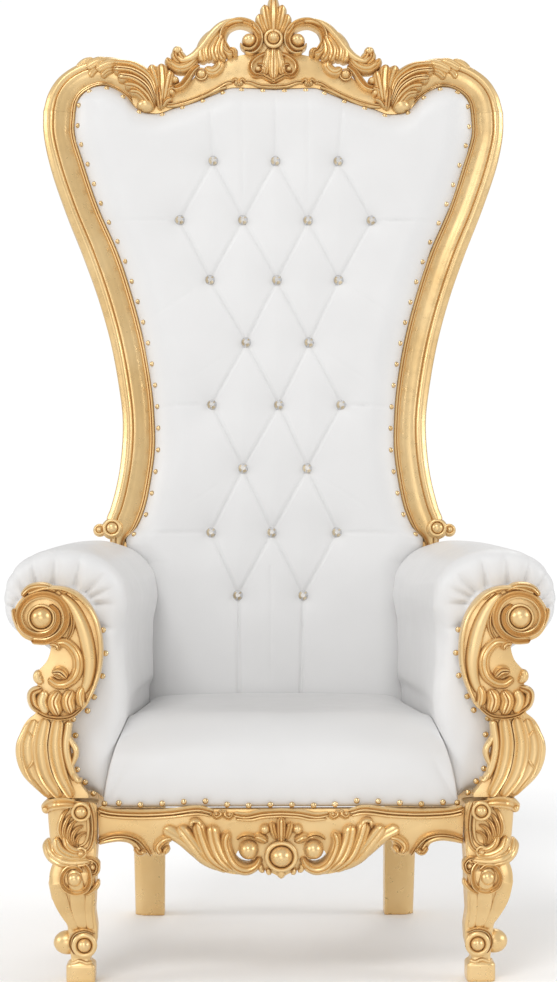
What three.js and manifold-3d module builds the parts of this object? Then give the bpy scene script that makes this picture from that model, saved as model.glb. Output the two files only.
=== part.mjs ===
// Tall-back carved giltwood throne: a carved gilt frame around a tufted white leatherette back,
// a fixed seat, rolled upholstered arms and crystal buttons.
// Millimetres, +Z up, front towards -Y, +X to the right of someone looking at the front.
// The front frame is drawn from Y = 0 at the middle of the front feet. The back frame is drawn
// flat (x, depth, height up the rake) in a group hinged at the seat rail and leaned back.
import * as THREE from 'three';
import { mergeVertices } from 'three/addons/utils/BufferGeometryUtils.js';
import Module from 'manifold-3d';

const wasm = await Module();
wasm.setup();
const { Manifold } = wasm;

// ---------------------------------------------------------------- driving dimensions (mm)
const GAP = 0.3; // clearance between touching pieces
const DETAIL = 2; // carving finer than this is left out of the solids
const RAKE = THREE.MathUtils.degToRad(9); // lean of the back frame
const HINGE = { y: 500, z: 290 }; // where the raked frame meets the seat rail

const BACK_FRAME = {
  face: -10, // front of the flat board behind the carving
  back: 32, // back of the board
  bossHeight: 1437, // middle of the crest's boss, up the rake
  crestJoint: 1287, // level where the crest rail meets the posts
  postFoot: 12, // where the post's upper part starts, up the rake
};
const SEAT = { top: 422, crown: 430, front: -8, back: 483, frontHalf: 289.7, backHalf: 237 };
const RAIL = { apronTop: 286, sideTop: 307, bottom: 226, thick: 28, frontX: 352, inwards: 0.197 };
const ARM = {
  facingFront: -24, // front of the carved facing's board
  facingBack: 5.7,
  padFront: 6,
  rollTop: 719,
  wallSplay: 0.11, // how fast the wall runs inwards as it goes back
  rollSplay: 0.07,
};
const LEG = { top: 307, innerX: 305.6, back: 34 };
const PAD = { front: -26, shoulder: -8, back: 14 }; // depths in the back frame
const REAR_LEG = { top: 306, footFront: 577, topFront: 501 };
const BUTTON = { radius: 10, height: 9 };

// ---------------------------------------------------------------- materials
function finish(name, color, roughness, metalness) {
  return () => new THREE.MeshStandardMaterial({ name, color, roughness, metalness });
}
const giltWood = finish('gilt_wood', 0xdcb473, 0.38, 0.55);
const leatherette = finish('white_leatherette', 0xecebe9, 0.45, 0);
const crystal = finish('crystal', 0xe6eaf0, 0.05, 0);

// ---------------------------------------------------------------- solids and meshes
const vec = (x, y, z) => new THREE.Vector3(x, y, z);

function solid(geometry) {
  const bare = geometry.clone();
  bare.deleteAttribute('normal');
  bare.deleteAttribute('uv');
  const merged = mergeVertices(bare, 1e-3);
  return new Manifold(new wasm.Mesh({
    numProp: 3,
    vertProperties: merged.attributes.position.array,
    triVerts: Uint32Array.from(merged.index.array),
  }));
}

function toMesh(name, shape, material) {
  const data = shape.getMesh();
  const geometry = new THREE.BufferGeometry();
  geometry.setAttribute('position', new THREE.BufferAttribute(data.vertProperties, 3));
  geometry.setIndex(new THREE.BufferAttribute(data.triVerts, 1));
  geometry.computeVertexNormals();
  const mesh = new THREE.Mesh(geometry, material());
  mesh.name = name;
  return mesh;
}

const union = (shapes) => Manifold.union(shapes);
const carved = (shapes) => union(shapes).asOriginal().simplify(DETAIL);
const mirrored = (shape) => shape.mirror([1, 0, 0]);
const bothSides = (shape) => union([shape, mirrored(shape)]);

// A closed solid through rings of the same number of points, with a fan over each end.
function loft(rings) {
  const count = rings[0].length;
  const { positions, index } = walls(rings);
  for (const [ring, first] of [[rings[0], 0], [rings.at(-1), (rings.length - 1) * count]]) {
    const middle = ring.reduce((sum, p) => sum.add(p), vec(0, 0, 0)).divideScalar(count);
    const hub = positions.length / 3;
    positions.push(middle.x, middle.y, middle.z);
    for (let i = 0; i < count; i += 1) {
      const a = first + i;
      const b = first + ((i + 1) % count);
      index.push(...(first === 0 ? [b, a, hub] : [a, b, hub]));
    }
  }
  return closedSolid(positions, index);
}

// The quads between neighbouring rings.
function walls(rings) {
  const count = rings[0].length;
  const positions = rings.flat().flatMap((p) => [p.x, p.y, p.z]);
  const index = [];
  for (let r = 0; r < rings.length - 1; r += 1) {
    for (let i = 0; i < count; i += 1) {
      const a = r * count + i;
      const b = r * count + ((i + 1) % count);
      index.push(a, b, b + count, a, b + count, a + count);
    }
  }
  return { positions, index };
}

// A solid from closed triangles, turned inside out where they face inwards.
function closedSolid(positions, index) {
  const geometry = new THREE.BufferGeometry();
  geometry.setAttribute('position', new THREE.Float32BufferAttribute(positions, 3));
  geometry.setIndex(volume(positions, index) < 0 ? index.reverse() : index);
  return solid(geometry);
}

function volume(positions, index) {
  const corner = (i) => vec(positions[3 * i], positions[3 * i + 1], positions[3 * i + 2]);
  let total = 0;
  for (let i = 0; i < index.length; i += 3) {
    total += corner(index[i]).dot(corner(index[i + 1]).cross(corner(index[i + 2])));
  }
  return total / 6;
}

// A smooth line in the face plane through [x, z] points, sampled in equal steps.
function smooth(points, steps) {
  const line = new THREE.CatmullRomCurve3(points.map(([x, z]) => vec(x, 0, z)), false, 'centripetal');
  return line.getSpacedPoints(steps).map((p) => [p.x, p.z]);
}

// A flat board with the given [x, z] outline, between two depths.
function board(outline, front, back, holes = []) {
  const shape = new THREE.Shape(outline.map(([x, z]) => new THREE.Vector2(x, z)));
  for (const hole of holes) {
    shape.holes.push(new THREE.Path(hole.map(([x, z]) => new THREE.Vector2(x, z))));
  }
  const geometry = new THREE.ExtrudeGeometry(shape, { depth: back - front, bevelEnabled: false });
  geometry.rotateX(Math.PI / 2);
  geometry.translate(0, back, 0);
  return solid(geometry);
}

// ---------------------------------------------------------------- the carver's shapes
// A leaf or scroll band: a bevelled bar along a curve in the face plane. It is `width` to each
// side and stands `rise` proud of `face` at its fullest, and narrows to start and end shares.
function leaf(path, width, rise, { start = 0.5, end = 0.25, spans = 3, face, root = 8 }) {
  const line = new THREE.CatmullRomCurve3(path.map(([x, z]) => vec(x, 0, z)), false, 'centripetal');
  const rings = [];
  for (let i = 0; i <= spans; i += 1) {
    const t = i / spans;
    const at = line.getPointAt(t);
    const along = line.getTangentAt(t);
    const aside = vec(-along.z, 0, along.x);
    const least = THREE.MathUtils.lerp(start, end, t);
    const full = least + (1 - least) * Math.sin(Math.PI * t) ** 0.8;
    const ring = [[-1, face + root], [-0.5, face - rise * full], [0.5, face - rise * full],
      [1, face + root]];
    rings.push(ring.map(([s, y]) => at.clone().addScaledVector(aside, s * width * full).setY(y)));
  }
  return loft(rings);
}

// A round swelling of the carving: a low dome, sunk into the face by `root`.
function dome(x, z, radius, rise, { face, sides = 7, tall = 1, root = 6 }) {
  const profile = [[0, -root], [radius, -root], [radius * 0.85, rise * 0.6], [0, rise]];
  return turned(profile, sides).scale([1, 1, tall]).translate([x, face, z]);
}

// A turned solid from [radius, height] points, standing out towards the front.
function turned(profile, sides) {
  const geometry = new THREE.LatheGeometry(profile.map(([r, h]) => new THREE.Vector2(r, h)), sides);
  return solid(geometry.rotateX(Math.PI));
}

// The band of a volute: a spiral that winds from `outer` to `inner` around its eye.
function volute(x, z, outer, inner, turns, from, width, rise, options) {
  const steps = Math.ceil(turns * 6);
  const path = [];
  for (let i = 0; i <= steps; i += 1) {
    const t = i / steps;
    const radius = THREE.MathUtils.lerp(outer, inner, t);
    const angle = from + turns * 2 * Math.PI * t;
    path.push([x + radius * Math.cos(angle), z + radius * Math.sin(angle)]);
  }
  return leaf(path, width, rise, { spans: steps, start: 0.8, end: 0.6, ...options });
}

// Several leaves written as [path, width, rise, options].
function leaves(rows, shared) {
  return rows.map(([path, width, rise, own]) => leaf(path, width, rise, { ...shared, ...own }));
}

// Several domes written as [x, z, radius, rise, options].
function domes(rows, shared) {
  return rows.map(([x, z, radius, rise, own]) => dome(x, z, radius, rise, { ...shared, ...own }));
}

// ---------------------------------------------------------------- back frame: shared lines
// Half of the opening that the crest and posts leave for the upholstery, from the crest's
// middle (heights from the boss) and then down the inner edge of the post (heights up the rake).
const crestLowerEdge = [[0, -101], [46, -99], [86, -99], [112, -110], [149, -125], [195, -140],
  [230, -152], [262, -146], [278, -134], [292, -116], [312, -102], [334, -95], [356, -98],
  [377, -112], [390, -134], [391, -150]];
const postInnerEdge = [[391, 1287], [392, 1245], [374, 1183], [343, 1091], [304, 1000], [275, 910],
  [252, 820], [237, 730], [232, 671], [231, 613], [238, 554], [250, 496], [267, 457], [278, 438]];
const postOuterEdge = [[454, 1287], [453, 1245], [441, 1183], [410, 1091], [374, 1000], [342, 910],
  [317, 820], [300, 730], [293, 671], [294, 613], [301, 554], [315, 496], [322, 476], [310, 437]];

const POST_STEPS = 13;
const openingTop = smooth(crestLowerEdge, 20).map(([x, z]) => [x, z + BACK_FRAME.bossHeight]);
const openingSide = smooth(postInnerEdge, POST_STEPS);

function fullOutline(half) {
  const left = half.filter(([x]) => x > 0.01).reverse();
  return [...half, ...left.map(([x, z]) => [-x, z])];
}

// ---------------------------------------------------------------- crest rail
// One carved rail: the boss with its palmette, C-scrolls, acanthus and the two ears.
function crestRail() {
  const { face, back, bossHeight, crestJoint } = BACK_FRAME;
  const cut = { face };
  const boardEdge = [[0, -20], [30, -25], [60, -30], [88, -38], [106, -56], [125, -67], [146, -67],
    [165, -86], [186, -100], [212, -106], [240, -100], [262, -80], [290, -75]];
  const backing = board([...boardEdge, ...crestLowerEdge.slice(0, 10).reverse()],
    face, back);
  const ear = frameMoulding(
    [[257, -62], [289, -46], [332, -37], [384, -52], [423, -79], [444, -112], [455, -151]],
    [[268, -150], [288, -122], [331, -94], [352, -96], [378, -112], [388, -130], [391, -151]],
    10,
  );
  const half = union([
    backing,
    ear,
    ...leaves([
      [[[9, 15], [15, 42], [20, 74]], 8, 20, { end: 0.4 }],
      [[[17, 10], [27, 33], [32, 54]], 7, 17, { end: 0.4 }],
      [[[9, -18], [15, -50], [11, -80]], 8, 16, {}],
      [[[18, -20], [38, -33], [47, -58], [38, -72]], 6, 15, { start: 0.7, end: 0.6 }],
      [[[88, -26], [100, -2], [92, 23], [70, 33], [46, 27], [31, 10], [29, -12], [42, -26],
        [60, -22], [66, -8]], 7, 20, { start: 0.6, end: 0.5, spans: 11 }],
      [[[72, 34], [102, 26], [124, 4], [141, -19], [160, -39], [180, -46], [196, -38]], 11, 22,
        { start: 0.5, end: 0.6, spans: 6 }],
      [[[108, 16], [132, -4], [136, -50]], 11, 20, {}],
      [[[103, 4], [115, -20], [112, -48]], 11, 22, {}],
      [[[97, -8], [96, -24], [82, -33]], 9, 16, { spans: 2 }],
      [[[150, -36], [172, -60], [190, -62], [210, -46]], 9, 16, { end: 0.5 }],
      [[[112, -36], [113, -56], [128, -64]], 10, 16, {}],
      [[[146, -54], [158, -72], [174, -96], [196, -104], [208, -90]], 8, 18, { spans: 5 }],
      [[[212, -132], [177, -129], [145, -117], [114, -101], [92, -90]], 5, 10, { spans: 5, end: 0.9 }],
      [[[60, -87], [36, -92], [0, -95]], 5, 10, { start: 0.8, end: 1 }],
      [[[227, -130], [229, -88], [242, -48]], 12, 24, { end: 0.5 }],
      [[[222, -130], [219, -88], [221, -48]], 11, 26, { end: 0.5 }],
      [[[218, -130], [212, -96], [206, -58]], 10, 22, { end: 0.4 }],
      [[[230, -130], [247, -90], [276, -68], [318, -62]], 11, 26, { face: face - 6 }],
      [[[233, -138], [250, -104], [276, -86], [308, -88]], 12, 24, { face: face - 4 }],
      [[[240, -144], [252, -120], [266, -108], [286, -110]], 10, 20, { face: face - 2 }],
      [[[306, -52], [330, -60], [352, -76]], 10, 12, { face: face - 12, spans: 2 }],
    ], cut),
    ...domes([
      [48, -3, 14, 20, {}],
      [31, -58, 11, 16, { tall: 1.1 }],
      [190, -27, 12, 22, {}],
      [143, -74, 10, 16, {}],
      [195, -88, 10, 18, {}],
      [202, -112, 9, 18, {}],
      [76, -92, 7, 11, {}],
      [61, -92, 7, 11, {}],
      [252, -136, 17, 16, {}],
    ], cut),
  ]);
  const middle = union([
    leaf([[0, 12], [0, 50], [0, 88]], 10, 24, { ...cut, end: 0.3 }),
    leaf([[0, -14], [0, -50], [0, -87]], 10, 20, { ...cut }),
    dome(0, 0, 21, 20, { ...cut, sides: 14, root: 14 }),
    dome(0, 0, 13, 31, { ...cut, sides: 10 }),
  ]);
  const opening = board(fullOutline([...openingTop, [391, 1200], [0, 1200]]), -100, 100);
  return carved([bothSides(half), middle])
    .translate([0, 0, bossHeight])
    .trimByPlane([0, 0, 1], crestJoint)
    .subtract(opening);
}

// The frame's running moulding between two edges: an outer roll, a groove and an inner bead.
function frameMoulding(outerEdge, innerEdge, steps) {
  const { back } = BACK_FRAME;
  const outer = smooth(outerEdge, steps);
  const inner = smooth(innerEdge, steps);
  const section = [[0, -8], [0.12, -22], [0.3, -14], [0.5, -18], [0.84, -8], [1, -6]];
  const rings = outer.map(([outerX, outerZ], i) => {
    const [innerX, innerZ] = inner[i];
    const at = (share, y) => vec(
      THREE.MathUtils.lerp(outerX, innerX, share), y, THREE.MathUtils.lerp(outerZ, innerZ, share),
    );
    return [at(0, back), ...section.map(([share, y]) => at(share, y)), at(1, back)];
  });
  return loft(rings);
}

// ---------------------------------------------------------------- rear posts
// One post a side: plain leg, hidden middle behind the arm, and the moulded upper part.
function rearPost() {
  const { back, crestJoint, postFoot } = BACK_FRAME;
  const upper = frameMoulding(postOuterEdge, postInnerEdge, POST_STEPS)
    .trimByPlane([0, 0, -1], -(crestJoint - GAP));
  const scroll = union([
    dome(309, 457, 20, 16, { face: BACK_FRAME.face, sides: 12, root: 40 }),
    dome(309, 457, 10, 24, { face: BACK_FRAME.face }),
    dome(336, 452, 12, 10, { face: BACK_FRAME.face, root: 38 }),
  ]);
  const middle = loft([[postFoot, 231, 272], [300, 231, 300], [436, 231, 316], [448, 254, 318]].map(
    ([z, inner, outer]) => [vec(inner, 1, z), vec(outer, 1, z), vec(outer, back, z), vec(inner, back, z)],
  ));
  return union([upper, scroll, middle, rearLeg()]);
}

// Depth of the splayed leg's front face at a height above the floor.
function rearLegFront(z) {
  return THREE.MathUtils.mapLinear(z, 0, REAR_LEG.top, REAR_LEG.footFront, REAR_LEG.topFront);
}

// The splayed leg, drawn upright from the floor and turned into the raked frame's own axes.
function rearLeg() {
  const chamfer = 17;
  const thick = 50;
  const rings = [[0, 212, 268], [REAR_LEG.top, 208, 272]].map(([z, inner, outer]) => {
    const front = rearLegFront(z);
    return [vec(inner, front, z), vec(outer - chamfer, front, z), vec(outer, front + chamfer, z),
      vec(outer, front + thick, z), vec(inner, front + thick, z)];
  });
  return loft(rings)
    .translate([0, -HINGE.y, -HINGE.z])
    .rotate([THREE.MathUtils.radToDeg(RAKE), 0, 0]);
}

// ---------------------------------------------------------------- front apron
function frontApron() {
  const cut = { face: -12 };
  const halfLength = LEG.innerX - GAP;
  const topEdge = [[0, 286], [28, 285], [60, 281], [73, 283], [86, 286], [97, 283], [116, 286],
    [halfLength, 286]];
  const bottomEdge = [[halfLength, 227], [287, 231], [266, 233], [249, 228], [241, 213], [232, 209],
    [224, 216], [210, 210], [195, 211], [188, 223], [182, 239], [166, 239], [150, 227], [133, 210],
    [117, 195], [100, 184], [83, 179], [67, 178], [50, 182], [37, 188], [22, 182], [11, 178], [0, 171]];
  const hole = [[76, 208], [72, 217], [66, 219], [62, 209], [53, 203], [43, 202], [54, 197], [67, 200]];
  const half = union([
    board([...topEdge, ...bottomEdge], cut.face, 14, [hole]),
    ...leaves([
      [[[66, 184], [92, 200], [106, 223], [114, 255]], 8, 18, {}],
      [[[73, 189], [91, 210], [97, 227], [102, 245]], 7, 20, {}],
      [[[80, 194], [90, 215], [82, 233]], 7, 20, {}],
      [[[74, 182], [109, 203], [122, 237], [134, 272]], 9, 18, {}],
      [[[89, 184], [122, 205], [144, 230], [162, 259]], 9, 17, {}],
      [[[122, 204], [149, 225], [172, 243], [198, 257]], 9, 15, {}],
      [[[180, 242], [197, 236], [207, 224], [197, 213]], 6, 13, { start: 0.7, end: 0.7 }],
      [[[303, 234], [285, 241], [262, 243], [239, 236], [222, 218]], 5, 11, { start: 0.9, end: 0.8 }],
      [[[halfLength - 7, 280], [235, 279], [185, 279], [136, 281], [116, 279]], 5, 9,
        { start: 1, end: 0.8 }],
      [[[73, 277], [44, 279], [0, 280]], 5, 9, { start: 0.8, end: 1 }],
      [[[8, 237], [13, 262]], 6, 15, { end: 0.5, spans: 2 }],
      [[[44, 240], [23, 232]], 8, 14, { spans: 2 }],
    ], cut),
    volute(56, 216, 26, 21, 0.8, 0, 6, 20, cut),
    ...domes([
      [54, 219, 13, 24, {}],
      [26, 251, 9, 14, {}],
      [234, 221, 9, 12, {}],
      [108, 279, 8, 11, {}],
      [86, 279, 8, 11, {}],
      [21, 188, 7, 12, {}],
    ], cut),
  ]);
  const middle = union([
    leaf([[0, 233], [0, 273]], 8, 18, { ...cut, end: 0.5, spans: 2 }),
    dome(0, 209, 28, 14, { ...cut, sides: 14, tall: 0.92 }),
    dome(0, 209, 21, 30, { ...cut, sides: 12, tall: 0.93 }),
    leaf([[0, 190], [0, 172]], 7, 12, { ...cut, spans: 2 }),
  ]);
  return carved([bothSides(half), middle])
    .trimByPlane([0, 0, -1], -RAIL.apronTop)
    .trimByPlane([-1, 0, 0], -halfLength)
    .trimByPlane([1, 0, 0], -halfLength);
}

// ---------------------------------------------------------------- front legs
// Corner block, knee, ankle and block foot in one carving, drawn for the +X side.
function frontLeg() {
  const levels = [
    [0, 310, 356, -23, 23], [31, 310, 356, -23, 23], [36, 313, 353, -20, 20], [68, 306, 355, -22, 22],
    [92, 305, 355, -20, 22], [117, 310, 368, -25, 24], [140, 309, 381, -36, 29], [168, 307, 386, -43, 33],
    [190, 307, 377, -41, LEG.back], [220, LEG.innerX, 388, -35, LEG.back],
    [238, LEG.innerX, 383, -32, LEG.back], [LEG.top, LEG.innerX, 389, -32, LEG.back],
  ];
  const rings = levels.map(([z, inner, outer, front, back]) => {
    const bevel = 0.22 * (outer - inner);
    return [vec(inner, front + 6, z), vec(inner + 6, front, z), vec(outer - bevel, front, z),
      vec(outer, front + bevel, z), vec(outer, back - 6, z), vec(outer - 6, back, z), vec(inner, back, z)];
  });
  const cut = { face: -30 };
  const shape = carved([
    loft(rings),
    ...leaves([
      [[[372, 166], [361, 129], [343, 93]], 9, 14, { face: -22 }],
      [[[351, 156], [341, 124], [331, 91]], 9, 16, { face: -22 }],
      [[[322, 152], [320, 124], [316, 93]], 7, 12, { face: -20 }],
      [[[319, 300], [311, 282], [310, 248], [318, 226], [332, 218]], 5, 10, { start: 0.8, end: 0.8 }],
      [[[350, 233], [362, 257], [352, 285]], 8, 13, {}],
      [[[344, 233], [350, 255], [337, 271]], 7, 15, {}],
      [[[336, 233], [340, 247], [325, 258]], 6, 13, {}],
      [[[352, 300], [378, 299], [392, 290]], 7, 14, {}],
    ], cut),
    ...domes([
      [325, 64, 20, 14, { face: -20, sides: 10 }],
      [325, 64, 11, 22, { face: -20 }],
      [337, 172, 18, 10, { face: -40, sides: 10 }],
      [337, 172, 10, 17, { face: -40 }],
      [331, 286, 15, 10, { sides: 10 }],
      [331, 286, 9, 16, {}],
      [377, 221, 11, 15, { face: -26 }],
      [354, 217, 12, 16, {}],
      [331, 219, 11, 14, {}],
    ], cut),
    sideToe(),
  ]);
  return shape.trimByPlane([1, 0, 0], LEG.innerX).trimByPlane([0, 0, -1], -LEG.top)
    .trimByPlane([0, 0, 1], 0);
}

// The scroll that the foot turns out sideways.
function sideToe() {
  const scroll = new THREE.SphereGeometry(20, 10, 6).scale(1.15, 1, 1);
  return solid(scroll.translate(356, 0, 64));
}

// ---------------------------------------------------------------- arm fronts
// One carved facing a side: leaf post below, C-scroll and big volute above.
function armFront() {
  const { facingFront: face, facingBack } = ARM;
  const cut = { face };
  const foot = LEG.top + GAP;
  const outline = [[388, foot], [400, 320], [416, 336], [429, 353], [436, 370], [437, 392], [431, 419],
    [421, 436], [406, 450], [415, 475], [403, 490], [410, 510], [399, 522], [387, 537], [383, 562],
    [405, 565], [428, 574], [443, 597], [444, 614], [434, 634], [418, 649], [390, 658], [357, 656],
    [333, 644], [313, 620], [301, 590], [297, 552], [300, 517], [310, 486], [325, 457], [348, 442],
    [351, 415], [352, 375], [345, 350], [333, 330], [319, foot]];
  return carved([
    board(outline, face, facingBack),
    volute(396, 606, 38, 26, 1.1, Math.PI * 0.35, 8, 14, cut),
    ...leaves([
      [[[372, 647], [334, 634], [309, 594], [304, 544], [311, 502], [324, 476]], 8, 14,
        { start: 0.6, end: 0.6, spans: 6 }],
      [[[378, 558], [356, 552], [341, 528], [350, 502], [372, 496]], 7, 13,
        { start: 0.6, end: 0.6, spans: 5 }],
      [[[391, 440], [396, 394], [384, 345], [362, foot + 2]], 12, 18, { end: 0.5 }],
      [[[369, 440], [371, 394], [361, 345], [340, foot + 2]], 11, 16, { end: 0.5 }],
      [[[413, 434], [425, 394], [417, 356], [388, 312]], 12, 14, { end: 0.4 }],
      [[[357, 430], [361, 383], [350, 350], [338, 334]], 8, 12, { end: 0.5 }],
    ], cut),
    ...domes([
      [396, 606, 19, 19, { sides: 10 }],
      [374, 520, 12, 17, {}],
      [395, 470, 12, 16, { tall: 1.3 }],
      [372, 463, 12, 17, { tall: 1.3 }],
      [350, 464, 11, 16, { tall: 1.2 }],
      [330, 473, 9, 13, { tall: 1.2 }],
      [401, 507, 8, 9, {}],
    ], cut),
  ]).trimByPlane([0, 0, 1], foot).trimByPlane([0, -1, 0], -facingBack);
}

// ---------------------------------------------------------------- rails
// A side rail from the front leg back and inwards to the rear leg, cut to fit the face of each.
function sideRail() {
  const section = [[0, 0], [1, 0], [1, 0.2], [1.25, 0.35], [1, 0.5], [1, 0.8], [1.3, 0.88], [1.3, 1], [0, 1]];
  const { bottom, sideTop, thick, frontX, inwards } = RAIL;
  const ring = (depthAt) => section.map(([out, up]) => {
    const z = THREE.MathUtils.lerp(bottom, sideTop, up);
    const y = depthAt(z);
    return vec(frontX - inwards * (y - LEG.back) + (out - 0.5) * thick, y, z);
  });
  return terrace([
    ring(() => LEG.back + GAP),
    ring((z) => rearLegFront(z) - GAP),
  ]);
}

function rearRail() {
  const half = 207.5;
  const outline = [[-half, RAIL.bottom], [half, RAIL.bottom], [half, RAIL.apronTop], [-half, RAIL.apronTop]];
  return board(outline, 512, 540);
}

// ---------------------------------------------------------------- upholstery
// The fixed seat: a wedge-shaped block with rolled edges and a crowned top.
function seatCushion() {
  const { front, back, frontHalf, backHalf, top, crown } = SEAT;
  const bottom = RAIL.apronTop + GAP;
  const ring = (z, inset) => {
    const near = front + inset * 0.6;
    const far = back - inset * 0.6;
    return [vec(-frontHalf + inset, near, z), vec(frontHalf - inset, near, z),
      vec(backHalf - inset, far, z), vec(-backHalf + inset, far, z)];
  };
  const loftRings = [ring(bottom, 3), ring(bottom + 30, 0), ring(top - 30, 0), ring(top - 8, 10),
    ring(top, 30), ring(crown, 110)];
  return loft(loftRings);
}

// The opening's outline, drawn in behind the arms and kept just clear of the wood.
function upholsteryOutline() {
  const lowHalf = 230;
  const bottom = 24;
  const armTop = 436;
  const low = [[lowHalf, armTop], [lowHalf, bottom], [0, bottom]];
  const edge = [...openingTop, ...openingSide.slice(1, -1), ...low];
  return fullOutline(inset(edge, 2 * GAP));
}

// The padded back fills the opening, with a raised field that the buttons pull in.
function backPad() {
  const flat = upholsteryOutline();
  const centre = { x: 0, z: 760 };
  const scaled = (share, z) => (share * (z - centre.z) + centre.z);
  const ring = (share, y) => flat.map(([x, z]) => vec(x * share, y, scaled(share, z)));
  return terrace([ring(1, PAD.back), ring(1, PAD.shoulder), ring(0.9, PAD.front)]);
}

// Like a loft, but its ends are triangulated outlines, so they may be hollowed in.
function terrace(rings) {
  const { positions, index } = walls(rings);
  const flatRing = rings[0].map((p) => new THREE.Vector2(p.x, p.z));
  const clockwise = THREE.ShapeUtils.isClockWise(flatRing);
  const last = (rings.length - 1) * flatRing.length;
  for (const [a, b, c] of THREE.ShapeUtils.triangulateShape(flatRing, [])) {
    index.push(...(clockwise ? [a, b, c] : [a, c, b]));
    index.push(...(clockwise ? [last + a, last + c, last + b] : [last + a, last + b, last + c]));
  }
  return closedSolid(positions, index);
}

// A half outline (from the top middle to the bottom middle) moved inwards by a distance.
function inset(half, distance) {
  return half.map(([x, z], i) => {
    const [beforeX, beforeZ] = half[i - 1] ?? [-half[1][0], half[1][1]];
    const [afterX, afterZ] = half[i + 1] ?? [-half.at(-2)[0], half.at(-2)[1]];
    const length = Math.hypot(afterX - beforeX, afterZ - beforeZ);
    const inwardX = (afterZ - beforeZ) / length;
    const inwardZ = -(afterX - beforeX) / length;
    return [x === 0 ? 0 : x + inwardX * distance, z + inwardZ * distance];
  });
}

// The outside of the back: a flat upholstered panel behind the pad.
function backPanel() {
  return board(upholsteryOutline(), PAD.back + GAP, BACK_FRAME.back);
}

// A rolled arm: its wall stands on the side rail and its roll overhangs outwards.
function armPad() {
  const bottom = RAIL.sideTop + GAP;
  const roll = { x: 368, z: 645, halfWidth: 93, halfHeight: ARM.rollTop - 645 };
  const outline = [[385, bottom], [383, 520], [390, 566]];
  const steps = 16;
  for (let i = 0; i <= steps; i += 1) {
    const angle = THREE.MathUtils.lerp(-0.33, 1.12, i / steps) * Math.PI;
    const reach = (value) => Math.sign(value) * Math.abs(value) ** 0.85;
    outline.push([
      roll.x + roll.halfWidth * reach(Math.cos(angle)),
      roll.z + roll.halfHeight * reach(Math.sin(angle)),
    ]);
  }
  outline.push([290, 540], [290, bottom]);
  const lean = Math.tan(RAKE);
  const backPlane = HINGE.y - HINGE.z * lean - GAP / Math.cos(RAKE);
  const front = ARM.padFront;
  const ring = (depthAt, shrink) => outline.map(([x, z]) => {
    const y = depthAt(z);
    const pulled = THREE.MathUtils.lerp(x, roll.x, z > 540 ? shrink : 0);
    const lowered = z > 560 ? THREE.MathUtils.lerp(z, roll.z, shrink) : z;
    const splay = THREE.MathUtils.lerp(ARM.wallSplay, ARM.rollSplay, THREE.MathUtils.smoothstep(z, 430, 600));
    return vec(pulled - splay * (y - front), y, lowered);
  });
  return terrace([
    ring(() => front, 0.1),
    ring(() => front + 10, 0),
    ring((z) => backPlane + z * lean, 0),
  ]);
}

// ---------------------------------------------------------------- crystal buttons
const BUTTON_ROWS = [
  { height: 1183, places: [-119, 3, 126] },
  { height: 1063, places: [-184, -61, 66, 190] },
  { height: 943, places: [-125, 5, 125] },
  { height: 819, places: [-55, 67] },
  { height: 696, places: [-121, 8, 128] },
  { height: 572, places: [-61, 62] },
  { height: 448, places: [-122, -6, 118] },
  { height: 327, places: [-71, 53] },
];

function crystalButton(x, height) {
  const { radius, height: tall } = BUTTON;
  const profile = [[0, 0], [radius, 0], [radius * 0.92, tall * 0.5], [0, tall]];
  return turned(profile, 6).translate([x, 0, height]);
}

// ---------------------------------------------------------------- the throne
function buildFrontFrame() {
  const front = new THREE.Group();
  front.add(toMesh('front_apron', frontApron(), giltWood));
  front.add(toMesh('rear_rail', rearRail(), giltWood));
  front.add(toMesh('seat_cushion', seatCushion(), leatherette));
  const pairs = [['front_leg', frontLeg(), giltWood], ['arm_front', armFront(), giltWood],
    ['side_rail', sideRail(), giltWood], ['arm_pad', armPad(), leatherette]];
  for (const [name, shape, material] of pairs) {
    front.add(toMesh(`${name}_right`, shape, material));
    front.add(toMesh(`${name}_left`, mirrored(shape), material));
  }
  return front;
}

function buildBackFrame() {
  const frame = new THREE.Group();
  frame.position.set(0, HINGE.y, HINGE.z);
  frame.rotation.x = -RAKE;
  frame.add(toMesh('crest_rail', crestRail(), giltWood));
  frame.add(toMesh('rear_post_right', rearPost(), giltWood));
  frame.add(toMesh('rear_post_left', mirrored(rearPost()), giltWood));
  frame.add(toMesh('back_pad', backPad(), leatherette));
  frame.add(toMesh('back_panel', backPanel(), leatherette));
  let number = 1;
  for (const { height, places } of BUTTON_ROWS) {
    for (const x of places) {
      const name = `crystal_button_${String(number).padStart(2, '0')}`;
      const button = toMesh(name, crystalButton(x, height), crystal);
      button.position.y = PAD.front - GAP;
      frame.add(button);
      number += 1;
    }
  }
  return frame;
}

const throne = new THREE.Group();
throne.add(buildFrontFrame(), buildBackFrame());

// The origin is under the middle of the throne's box.
throne.updateMatrixWorld(true);
const box = new THREE.Box3().setFromObject(throne, true);
throne.position.y = -(box.min.y + box.max.y) / 2;
throne.position.z = -box.min.z;

export default throne;
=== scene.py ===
"""Tall-back carved giltwood throne: carved gilt frame, tufted white leatherette, crystal buttons.

Lengths in the tables and classes below are millimetres in two drawing frames. The front frame has
X to the right, Y backwards from the middle of the front feet and Z up. The back frame is drawn flat
as (across, depth, up the rake) and is leaned back about a hinge at the seat rail. Pieces are put in
their place in metres by one matrix each.
"""

import logging
import math
from collections.abc import Callable, Sequence
from dataclasses import dataclass, field
from enum import Enum

import bmesh
import bpy
import numpy as np
from mathutils import Matrix, Vector


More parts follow.
